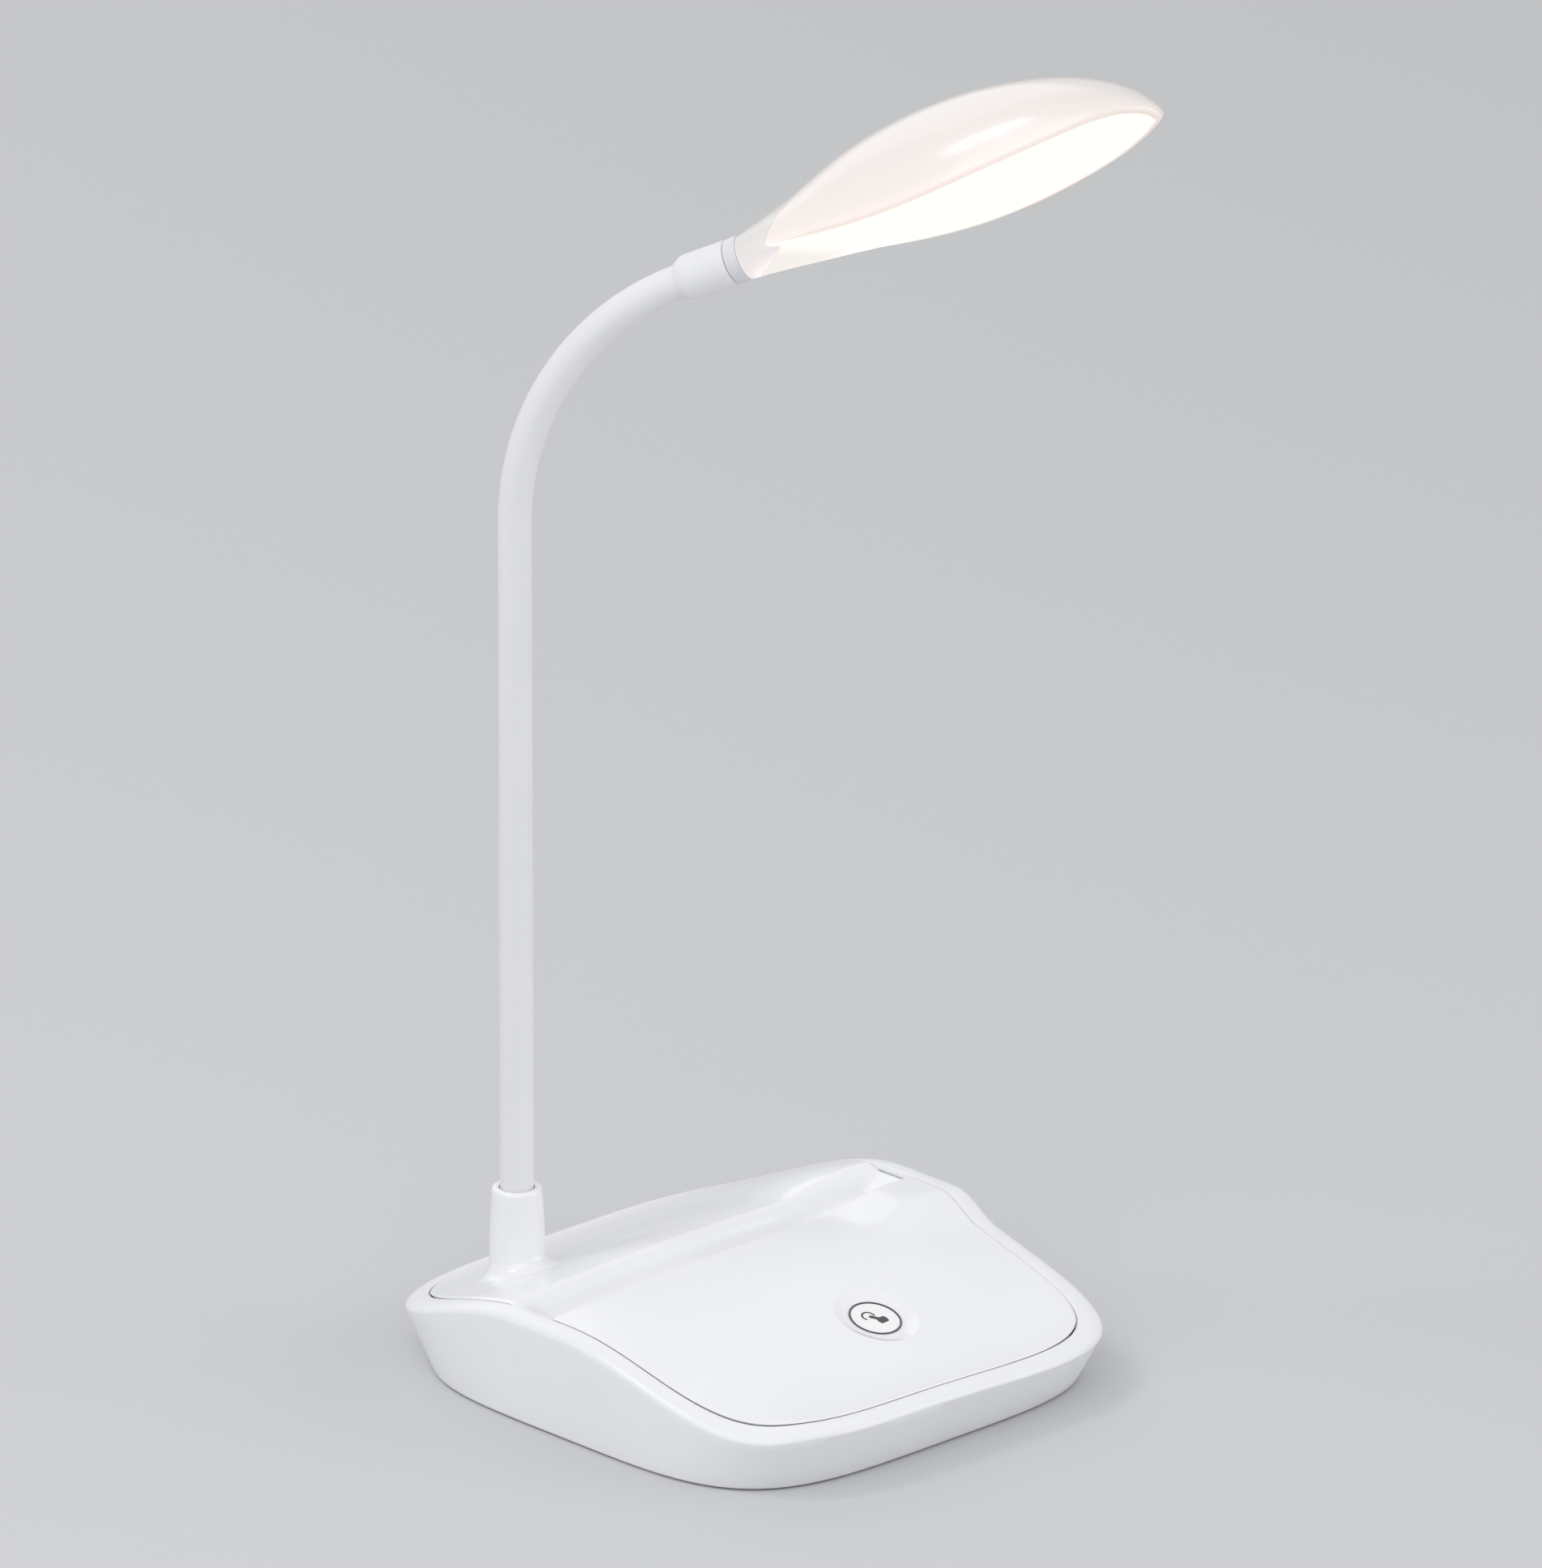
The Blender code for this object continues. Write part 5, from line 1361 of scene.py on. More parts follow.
    def symbol(self) -> None:
        """Draw a finger that taps, with a bow of light above it, in plain strokes.

        The finger and the hand are straight bars with blunt ends: a bar's width is the root of
        one minus the eighth power of the distance from its middle. The bow is part of an ellipse.
        """
        share = np.linspace(0, 1, 15)
        blunt = np.sqrt(np.clip(1 - (2 * share - 1) ** 8, self.blunt_end**2, 1))
        bars = (("finger", self.finger, self.finger_width), ("palm", self.palm, self.palm_width))
        for name, (start, end), width in bars:
            line = np.array(start) + (np.array(end) - start) * share[:, None]
            self.stroke(f"symbol_{name}", line, width * blunt)
        turn = np.radians(np.linspace(*self.bow_turn_deg, 41))
        bow = np.column_stack([np.cos(turn), np.sin(turn)]) * self.bow_radii + self.bow_middle
        self.stroke("symbol_bow", bow, np.full(len(turn), self.bow_width))

    def build(self) -> None:
        """Make the disc, the ring and the symbol."""
        self.disc()
        self.ring()
        self.symbol()


@dataclass
class ArmPath:
    """Centre line of the arm: straight up, then a bend in one plane, then straight on."""

    root_x: float
    root_y: float
    straight: float = 253.0 * MM
    bend_radius: float = 85.7 * MM
    bend_azimuth_deg: float = 30.0
    pitch_deg: float = 25.5

    @property
    def bend(self) -> float:
        """Angle that the arm turns through."""
        return math.radians(90 - self.pitch_deg)

    @property
    def length(self) -> float:
        """Length from the desk's height to the end of the bend."""
        return self.straight + self.bend_radius * self.bend

    @property
    def side(self) -> np.ndarray:
        """Level direction that the arm leans towards."""
        turn = math.radians(self.bend_azimuth_deg)
        return np.array([math.sin(turn), -math.cos(turn), 0.0])

    @property
    def axis(self) -> np.ndarray:
        """Level axis that the arm bends about."""
        return np.cross([0.0, 0.0, 1.0], self.side)

    def spots(self, length: np.ndarray) -> tuple[np.ndarray, np.ndarray]:
        """Points and directions along the arm.

        Past the straight part the direction turns with the length over the bend's radius: the
        level distance is the radius times one minus the cosine of that turn, and the height
        gains the radius times its sine.

        Args:
            length: Lengths along the arm.

        Returns:
            Points and unit directions, one row each.
        """
        length = np.atleast_1d(np.asarray(length, float))
        turn = np.clip((length - self.straight) / self.bend_radius, 0, self.bend)
        past = np.clip(length - self.length, 0, None)
        up = np.array([0.0, 0.0, 1.0])
        ahead = np.cos(turn)[:, None] * up + np.sin(turn)[:, None] * self.side
        level = self.bend_radius * (1 - np.cos(turn))
        height = np.minimum(length, self.straight) + self.bend_radius * np.sin(turn)
        root = np.array([self.root_x, self.root_y, 0.0])
        points = root + level[:, None] * self.side + height[:, None] * up
        return points + past[:, None] * ahead, ahead

    def frame(self, length: float, roll_deg: float = 0.0) -> Matrix:
        """Frame on the arm: Z along it, X along the bend's axis, rolled about Z.

        Args:
            length: Length along the arm.
            roll_deg: Turn about the arm.

        Returns:
            The frame.
        """
        point, ahead = self.spots(np.array([length]))
        rows = np.stack([self.axis, np.cross(ahead[0], self.axis), ahead[0]])
        frame = Matrix(rows.tolist()).transposed().to_4x4()
        frame.translation = Vector(point[0].tolist())
        return frame @ Matrix.Rotation(math.radians(roll_deg), 4, "Z")


@dataclass
class Collar:
    """Collar moulded on the deck that the arm stands in.

    The flare's foot stands over the deck by the lift, and below it the collar is rooted in
    the deck. The taper is how much slimmer than its radius the collar is above the flare and
    at its waist. The sleeve starts at the seat, which like the bore's floor is a height over
    the deck.
    """

    form: BaseForm
    x: float = -42.0 * MM
    y: float = 54.3 * MM
    radius: float = 8.0 * MM
    top_radius: float = 6.9 * MM
    lip: float = 0.3 * MM
    lip_round: float = 1.4 * MM
    taper: tuple[float, float] = (0.05 * MM, 0.25 * MM)
    waist_share: float = 0.6
    flare_radius: float = 13.0 * MM
    flare_height: float = 5.0 * MM
    height: float = 26.0 * MM
    bore: float = 5.1 * MM
    bore_floor: float = 1.5 * MM
    seat: float = 2.5 * MM
    lift: float = 0.02 * MM
    rooted: float = 1.2 * MM
    sides: int = 96

    def root(self) -> float:
        """Height of the deck at the collar's middle."""
        return float(self.form.deck_height(self.x, self.y))

    def build(self) -> bpy.types.Object:
        """Make the collar.

        From its foot to the flare's end the surface is the deck's height plus a rise that grows
        from zero as one minus the cosine of a quarter turn; above that it is a turned profile.

        Returns:
            The piece.
        """
        angle = 2 * np.pi * np.arange(self.sides) / self.sides
        bend = np.linspace(0, np.pi / 2, 14)
        radius = self.radius + (self.flare_radius - self.radius) * (1 - np.sin(bend))
        rise = self.flare_height * (1 - np.cos(bend)) + self.lift
        x = self.x + radius[:, None] * np.cos(angle)
        y = self.y + radius[:, None] * np.sin(angle)
        flare = self.form.placed(x, y, self.form.deck_height(x, y) + rise[:, None])
        root, top = self.root(), self.root() + self.height
        corners = [
            (self.radius - self.taper[0], root + 2 * self.flare_height, 0),
            (self.radius - self.taper[1], root + self.height * self.waist_share, 4 * MM),
            (self.top_radius + self.lip, top, self.lip_round),
            (self.bore, top, 0.35 * MM),
            (self.bore, root + self.bore_floor, 0),
        ]
        middle = np.array([self.x, self.y + self.form.shift_y, 0])
        upper = turn_profile(round_corners(corners), self.sides) + middle
        sunk = flare[:1] - np.array([0, 0, self.rooted])
        inner = upper[-1:].copy()
        inner[..., 2] = root - self.rooted
        grid = np.concatenate([sunk, flare, upper, inner])
        piece = surface("arm_collar", grid, True, True, sharp_deg=40)
        return settle(piece, POLISHED_ABS, Body.BASE)


@dataclass
class Gooseneck:
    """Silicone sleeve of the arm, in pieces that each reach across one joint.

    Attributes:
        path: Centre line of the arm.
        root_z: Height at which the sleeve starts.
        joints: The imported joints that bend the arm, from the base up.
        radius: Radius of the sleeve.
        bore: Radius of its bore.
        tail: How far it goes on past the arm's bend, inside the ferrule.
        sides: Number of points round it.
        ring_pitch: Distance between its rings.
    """

    path: ArmPath
    root_z: float
    joints: list[dict[str, Any]]
    radius: float = 4.83 * MM
    bore: float = 3.0 * MM
    tail: float = 6.7 * MM
    sides: int = 48
    ring_pitch: float = 1.6 * MM

    def joint_lengths(self) -> list[float]:
        """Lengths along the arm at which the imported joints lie.

        The joint's height gives the length on the straight part, and on the bend the height
        above its start over the bend's radius is the sine of the turn.

        Returns:
            The lengths, from the base up.
        """
        lengths = []
        for joint in self.joints:
            above = joint["pos_m"][2] - self.path.straight
            turn = math.asin(min(max(above / self.path.bend_radius, 0.0), 1.0))
            low = min(joint["pos_m"][2], self.path.straight)
            lengths.append(low + self.path.bend_radius * turn)
        return lengths

    def tube(self, name: str, start: float, end: float) -> bpy.types.Object:
        """Make a stretch of sleeve: circles square to the path, outside and then inside.

        Args:
            name: Name of the piece.
            start: Length along the arm where it starts.
            end: Length where it ends.

        Returns:
            The piece.
        """
        count = max(int((end - start) / self.ring_pitch), 2)
        points, ahead = self.path.spots(np.linspace(start, end, count + 1))
        across = np.broadcast_to(self.path.axis, points.shape)
        over = np.cross(ahead, across)
        turn = 2 * np.pi * np.arange(self.sides) / self.sides
        circle = np.cos(turn)[None, :, None] * across[:, None]
        circle = circle + np.sin(turn)[None, :, None] * over[:, None]
        outside = points[:, None] + self.radius * circle
        inside = points[::-1, None] + self.bore * circle[::-1]
        return surface(name, np.vstack([outside, inside]), True, True)

    def build(self) -> None:
        """Make one piece for each joint; neighbours meet halfway between two joints."""
        lengths = self.joint_lengths()
        middles = [(low + high) / 2 for low, high in zip(lengths, lengths[1:])]
        starts = [self.root_z, *middles]
        ends = [*middles, self.path.length + self.tail]
        half = (lengths[1] - lengths[0]) / 2
        for index, joint in enumerate(self.joints):
            piece = self.tube(f"sleeve_{index + 1}", starts[index], ends[index])
            dress(piece, SILICONE)
            points, _ = self.path.spots(np.array([lengths[index] - half, lengths[index] + half]))
            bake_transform(piece)
            replaced = [f"arm_sleeve_{index + 1}"] + (["arm_sleeve_0"] if index == 0 else [])
            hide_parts(*replaced)
            LOG.info("%s: bends across %s", piece.name, joint["name"])


@dataclass
class NeckEnd:
    """Ferrule at the arm's end and the grey ring in front of it.

    The ferrule rounds in to its mouth, where the sleeve goes in, and is a little slimmer at
    its waist, whose place is a share of the length. The seam is the gap between the two.
    """

    frame: Matrix
    ferrule_length: float = 17.0 * MM
    ferrule_radius: float = 6.7 * MM
    ferrule_waist: float = 0.05 * MM
    waist_share: float = 0.6
    ferrule_end_radius: float = 6.60 * MM
    mouth_radius: float = 5.25 * MM
    mouth_length: float = 2.6 * MM
    sleeve_radius: float = 4.9 * MM
    sleeve_depth: float = 9.0 * MM
    ring_length: float = 4.1 * MM
    ring_radius: float = 6.68 * MM
    ring_bore: float = 4.0 * MM
    seam: float = 0.22 * MM
    edge_round: float = 0.15 * MM
    sides: int = 96

    def turned(
        self, name: str, corners: list[tuple[float, float, float]], finish: Finish, node: str
    ) -> None:
        """Turn one of the two pieces from a profile with rounded corners.

        Args:
            name: Name of the piece.
            corners: Radius, height and rounding length of each corner.
            finish: Its finish.
            node: Name of the solid that it replaces.
        """
        grid = moved(turn_profile(round_corners(corners), self.sides), self.frame)
        settle(surface(name, grid, True, True), finish, Body.LAST_LINK, (node,))

    def build(self) -> None:
        """Turn the ferrule and the ring."""
        length, edge = self.ferrule_length, self.edge_round
        ferrule = [
            (self.sleeve_radius, self.sleeve_depth, 0),
            (self.sleeve_radius, 0, 0.2 * MM),
            (self.mouth_radius, 0, 0.4 * MM),
            (self.ferrule_radius, self.mouth_length, 1.5 * MM),
            (self.ferrule_radius - self.ferrule_waist, length * self.waist_share, 2 * MM),
            (self.ferrule_end_radius, length - self.seam, edge),
            (self.ring_bore, length - self.seam, 0),
            (self.ring_bore, self.sleeve_depth, 0),
        ]
        self.turned("arm_ferrule", ferrule, SILICONE, "ferrule")
        end = length + self.ring_length - self.seam / 2
        ring = [
            (self.ring_bore, length, 0),
            (self.ferrule_end_radius, length, edge),
            (self.ring_radius, end, edge),
            (self.ring_bore, end, 0),
        ]
        self.turned("grey_ring", ring, GREY_ABS, "swivel_ring")


def through(shares: tuple[float, ...], place: np.ndarray) -> np.ndarray:
    """Read a smooth curve through evenly spaced values.

    Between two values it is the cubic whose slopes at both ends are half the difference of the
    values on either side.

    Args:
        shares: The values.
        place: Where to read, from 0 at the first value to 1 at the last.

    Returns:
        The curve's values.
    """
    values = np.array([2 * shares[0] - shares[1], *shares, 2 * shares[-1] - shares[-2]])
    spot = np.clip(place, 0, 1) * (len(shares) - 1)
    first = np.minimum(spot.astype(int), len(shares) - 2)
    part = spot - first
    before, low = values[first], values[first + 1]
    high, after = values[first + 2], values[first + 3]
    slope_low, slope_high = (high - before) / 2, (after - low) / 2
    blend = part**2 * (3 - 2 * part)
    bow = slope_low * part * (1 - part) ** 2 - slope_high * part**2 * (1 - part)
    return low + (high - low) * blend + bow


@dataclass
class HeadForm:
    """Shape of the leaf-shaped head along its length, in shares of its main sizes.

    The shares are read at two over pi times the arc sine of the station, so that they lie closer
    together towards the round tip.

    Attributes:
        frame: Frame at the arm's end, Z along the arm and Y to the crown's side.
        start: Distance along the frame at which the shares start.
        mouth: Distance at which the head meets the ring.
        length: Length over which the shares run, to the tip.
        half_width: Half width that the width's shares are of.
        crown: Height of the crown that its shares are of.
        sag: Height of the rim that its shares are of.
        belly: Depth below the rim that its shares are of.
        width_shares: Half width from the neck to the tip.
        crown_shares: Crown's height.
        rim_shares: Rim's height, negative where it lies below the arm's line.
        belly_shares: Depth of the lens and the neck's underside below the rim.
        edge_shares: Place of the neck cover's end, from the underside to the crown.
    """

    frame: Matrix
    start: float = 21.7 * MM
    mouth: float = 21.1 * MM
    length: float = 132.0 * MM
    half_width: float = 28.5 * MM
    crown: float = 23.4 * MM
    sag: float = 6.3 * MM
    belly: float = 7.0 * MM
    width_shares: tuple[float, ...] = (
        0.240, 0.586, 0.802, 0.931, 0.976, 0.934, 0.839, 0.689, 0.479, 0.215, 0.0
    )
    crown_shares: tuple[float, ...] = (
        0.275, 0.495, 0.781, 0.918, 0.931, 0.854, 0.716, 0.528, 0.307, 0.071, -0.078
    )
    rim_shares: tuple[float, ...] = (
        0.04, -0.632, -1.087, -1.247, -1.138, -0.910, -0.658, -0.389, -0.236, -0.284, -0.539
    )
    belly_shares: tuple[float, ...] = (
        0.97, 0.480, 0.310, 0.205, 0.162, 0.160, 0.161, 0.139, 0.099, 0.053, 0.0
    )
    edge_shares: tuple[float, ...] = (
        0.012, 0.028, 0.060, 0.088, 0.108, 0.122, 0.086, 0.096, 0.118, 0.160, 0.190, 0.205, 0.210
    )

    def sizes(self, station: np.ndarray) -> tuple[np.ndarray, ...]:
        """Read the main sizes at stations along the head.

        Args:
            station: Shares of the length.

        Returns:
            Half width, crown's height, rim's height and belly's depth.
        """
        place = 2 / np.pi * np.arcsin(np.clip(station, 0, 1))
        return (
            self.half_width * through(self.width_shares, place),
            self.crown * through(self.crown_shares, place),
            self.sag * through(self.rim_shares, place),
            self.belly * through(self.belly_shares, place),
        )

    def skin(self, station: np.ndarray, turn: np.ndarray, inset: float = 0.0) -> np.ndarray:
        """Points of the head's outside.

        A section is half an ellipse above the rim and half another below it: across it is the
        half width times the cosine of the turn, and up it is the rim's height plus the rise or
        the belly times the sine.

        Args:
            station: Shares of the length.
            turn: Angles round the section.
            inset: How far inside the outside the points lie.

        Returns:
            Points of the frame.
        """
        half, crown, rim, belly = self.sizes(station)
        rise = np.where(np.sin(turn) >= 0, crown - rim, belly)
        across = (half - inset) * np.cos(turn)
        up = rim + (rise - inset) * np.sin(turn)
        along = self.start + self.length * station
        return moved(np.stack([across, up, along + 0 * across], axis=-1), self.frame)

    def neck_edge(self, turn: np.ndarray) -> np.ndarray:
        """Work out where the neck cover ends.

        The place is read from shares that lie 15 degrees apart, from the underside over the side
        to the crown.

        Args:
            turn: Angles round the section.

        Returns:
            A share of the length for each angle.
        """
        height = np.degrees(np.arcsin(np.clip(np.sin(turn), -1, 1)))
        return through(self.edge_shares, (height + 90) / 180)

    def outline(self, station: np.ndarray, inset: np.ndarray | float) -> tuple[np.ndarray, ...]:
        """Half width and place along the head of the rim, drawn in by an inset.

        The inset is measured square to the rim's outline seen from above: the slope of the half
        width over the length gives the direction.

        Args:
            station: Shares of the length.
            inset: How far inside the rim the points lie.

        Returns:
            Half width and place along the head.
        """
        angle = np.arcsin(np.clip(station, 0, 1))
        step = 1e-3
        before = np.sin(np.clip(angle - step, 0, np.pi / 2))
        after = np.sin(np.clip(angle + step, 0, np.pi / 2))
        wide = self.sizes(after)[0] - self.sizes(before)[0]
        ahead = (after - before) * self.length
        size = np.hypot(wide, ahead)
        half = self.sizes(station)[0] - inset * ahead / size
        along = self.start + self.length * station + inset * wide / size
        return np.clip(half, 0, None), along


def fading(height: np.ndarray, strength: float, reach: float) -> np.ndarray:
    """Painted glow that fades with height: its strength times e to the minus height over reach."""
    return strength * np.exp(-height / reach)


@dataclass
class LampHead:
    """Neck cover, shell and diffuser of the head.

    Attributes:
        form: Shape of the head.
        wall: Thickness of the neck and the shell.
        seam: Gap between the neck and what it meets.
        lip: How far the shell's lip turns in under it.
        lip_round: Rounding of the lip.
        lip_start: Stations between which the lip grows to its full width.
        pocket: Height of the pocket for the lens over the rim.
        thin: Least size of the lip's rounding.
        lens_sunk: How far the lens lies above the rim.
        lens_gap: Gap between lens and lip.
        lens_draft: How far the lens's edge leans in over its thickness.
        lens_thickness: Thickness of the lens.
        lens_blend: Stations between which the lens's section turns from the neck's ellipse into
            a parabola.
        tip_fade: Share of the length at the tip over which the lens meets the rim.
        neck_light: Painted glow that lightens the neck's underside, its fall towards the crown as a
            power, and the share of it that is left at the ring.
        lip_glow: Painted glow on the shell close to the lip, which lightens the shade there, and its
            reach in height.
        near_glow: Painted glow a little higher up, and its reach.
        far_glow: Painted glow over the whole shell, and its reach.
        far_glow_end: Stations between which that painted glow fades towards the tip.
        board_start: Station at which the lens's full light starts at the rims.
        board_bow: How much further on it starts at the middle, and the power of that curve.
        board_soft: How far before and past that line the light grows.
        dim_share: Share of the light that the lens gives before it.
        neck_columns: Number of points round the neck.
        neck_rows: Number of rows along the neck.
        edge_round: Rounding of the neck's edges.
        rows: Number of rows along the shell and the lens.
        columns: Number of points across them.
    """

    form: HeadForm
    wall: float = 1.7 * MM
    seam: float = 0.25 * MM
    lip: float = 2.2 * MM
    lip_round: float = 1.25 * MM
    lip_start: tuple[float, float] = (0.086, 0.26)
    pocket: float = 1.0 * MM
    thin: float = 0.02 * MM
    lens_sunk: float = 0.1 * MM
    lens_gap: float = 0.05 * MM
    lens_draft: float = 0.05 * MM
    lens_thickness: float = 1.2 * MM
    lens_blend: tuple[float, float] = (0.10, 0.35)
    tip_fade: float = 0.01
    neck_light: tuple[float, float, float] = (1.35, 1.5, 0.65)
    lip_glow: tuple[float, float] = (0.6, 0.8 * MM)
    near_glow: tuple[float, float] = (0.6, 4.0 * MM)
    far_glow: tuple[float, float] = (0.4, 22.0 * MM)
    far_glow_end: tuple[float, float] = (0.7, 1.0)
    board_start: float = 0.08
    board_bow: tuple[float, float] = (0.10, 0.8)
    board_soft: tuple[float, float] = (0.03, 0.08)
    dim_share: float = 0.78
    neck_columns: int = 240
    neck_rows: int = 36
    edge_round: float = 0.15 * MM
    rows: int = 170
    columns: int = 97

    def stations(self, start: np.ndarray) -> np.ndarray:
        """Stations from a start to the tip, closer together there.

        The station is the sine of an angle that grows evenly to a quarter turn.

        Args:
            start: Share of the length at which each column starts.

        Returns:
            Shares of the length, one row for each row of the grid.
        """
        first = np.arcsin(start)
        share = np.linspace(0, 1, self.rows)[:, None]
        return np.sin(first + (np.pi / 2 - first) * share)

    def neck(self) -> bpy.types.Object:
        """Cover that flares from the ring to the shell, outside and inside, closed round.

        Its painted glow is stronger below, where the lens is near, than at the crown.

        Returns:
            The piece.
        """
        form = self.form
        turn = np.linspace(0, 2 * np.pi, self.neck_columns, endpoint=False)
        first = (form.mouth + self.seam / 2 - form.start) / form.length
        last = form.neck_edge(turn) - self.seam / form.length / 2
        share = np.linspace(0, 1, self.neck_rows)[:, None]
        station = first + (last - first) * share
        turns = np.broadcast_to(turn, station.shape)
        outside = form.skin(station, turns)
        inside = form.skin(station, turns, self.wall)
        # Painted glow: it lightens the underside, and fades towards the crown and towards the ring.
        below = (1 - np.sin(turns)) / 2
        level, fall, left = self.neck_light
        light = level * below**fall * (left + (1 - left) * share)
        marks = {"painted_glow": np.vstack([light, light[::-1]])}
        grid = np.vstack([outside, inside[::-1]])
        piece = surface("neck_cover", grid, True, True, sharp_deg=50, marks=marks)
        soften_edges(piece, self.edge_round)
        return settle(piece, NECK_ABS, Body.HEAD, ("head_neck",))

    def arc(
        self,
        station: np.ndarray,
        inset: np.ndarray,
        levels: tuple[np.ndarray, np.ndarray],
        turn: np.ndarray,
    ) -> np.ndarray:
        """Half an ellipse over the rim's outline, from a low level to a top one.

        Across it is the width times the cosine of the turn, and up it is the low level plus the
        rise times the sine.

        Args:
            station: Shares of the length.
            inset: How far inside the rim's outline it stands.
            levels: Low level and top level.
            turn: Angles of the ellipse.

        Returns:
            Points of the head.
        """
        low, top = levels
        wide, along = self.form.outline(station, inset)
        return np.stack([wide * np.cos(turn), low + (top - low) * np.sin(turn), along], axis=-1)

    def shell(self) -> bpy.types.Object:
        """Upper shell with a rounded lip that turns in under it.

        Each row of the grid goes round the wall: from the lip's inner edge round a quarter circle
        up to the foot of the dome, over the dome, down to the other lip, and back along the inside.
        Its painted glow is strongest at the lip, where it lightens the shade under it, and fades
        with the height above it.

        Returns:
            The piece.
        """
        form = self.form
        turn = np.linspace(0, np.pi, self.columns)
        bend = np.linspace(0, np.pi / 2, 8)
        station = self.stations(form.neck_edge(turn) + self.seam / form.length / 2)
        grown = ramp(station, *self.lip_start)
        _, crown, rim, _ = form.sizes(station)
        lip = self.lip * grown
        soft = np.maximum(np.minimum(self.lip_round * grown, 0.5 * (crown - rim)), self.thin)
        dome = self.arc(station, 0 * lip, (rim + soft, crown), turn)
        side, low = station[:, :1], rim[:, :1]
        inset = np.hstack([soft[:, :1] * (1 - np.cos(bend[1:])), lip[:, :1]])
        level = np.hstack([low + soft[:, :1] * (1 - np.sin(bend[1:])), low])
        edge = self.arc(side + 0 * inset, inset, (level, level), np.zeros(inset.shape))
        pocket = rim + np.minimum(self.pocket, 0.5 * (crown - rim))
        roof = np.maximum(crown - self.wall, pocket)
        within = self.arc(station, np.maximum(lip, self.wall), (pocket, roof), turn)
        mirrored = edge * np.array([-1, 1, 1])
        grid = np.concatenate([edge[:, ::-1], dome, mirrored, within[:, ::-1]], axis=1)
        # Painted glow: strongest at the lip, where it lightens the shade, and fading with height.
        height = grid[..., 1] - rim[:, :1]
        far = fading(height, *self.far_glow) * (1 - ramp(station[:, :1], *self.far_glow_end))
        light = fading(height, *self.near_glow) + far + fading(height, *self.lip_glow)
        piece = surface(
            "upper_shell",
            moved(grid, form.frame),
            wrap_columns=True,
            sharp_deg=50,
            marks={"painted_glow": light},
        )
        return settle(piece, HEAD_ABS, Body.HEAD, ("head_shell",))

    def diffuser(self) -> bpy.types.Object:
        """Opal lens between the lips.

        Across the head its height is the rim's less the belly times one minus the square of the
        share across; towards the neck that parabola turns into the neck's half ellipse. The board
        behind it lights it fully from a line that starts at the rims near the neck and crosses the
        belly further on.

        Returns:
            The piece.
        """
        form = self.form
        turn = np.linspace(-np.pi / 2, np.pi / 2, self.columns)
        across = np.sin(turn)
        below = -np.arccos(np.clip(np.abs(across), 0, 1))
        station = self.stations(form.neck_edge(below) + self.seam / form.length / 2)
        _, _, rim, belly = form.sizes(station)
        grown = ramp(station, *self.lip_start)
        inset = (self.lip + self.lens_gap) * grown
        half, along = form.outline(station, inset)
        flat = belly * (1 - across**2)
        full = belly * np.sqrt(np.clip(1 - across**2, 0, 1))
        blend = ramp(station, *self.lens_blend)
        sunk = self.lens_sunk * grown * ramp(1 - station, 0, self.tip_fade)
        low = rim + sunk - flat * blend - full * (1 - blend)
        outside = np.stack([half * across, low, along], axis=-1)
        inner_half, inner_along = form.outline(station, inset + self.lens_draft)
        inside = np.stack([inner_half * across, low + self.lens_thickness, inner_along], axis=-1)
        grid = moved(np.concatenate([outside, inside[:, ::-1]], axis=1), form.frame)
        further, power = self.board_bow
        start = self.board_start + further * (1 - np.abs(across)) ** power
        before, past = self.board_soft
        lit = ramp(station, start - before, start + past)
        light = self.dim_share + (1 - self.dim_share) * lit
        marks = {"board_light": np.concatenate([light, light[:, ::-1]], axis=1)}
        piece = surface("opal_lens", grid, wrap_columns=True, sharp_deg=50, marks=marks)
        return settle(piece, OPAL, Body.HEAD, ("diffuser",))

    def build(self) -> None:
        """Make the three pieces."""
        self.neck()
        self.shell()
        self.diffuser()


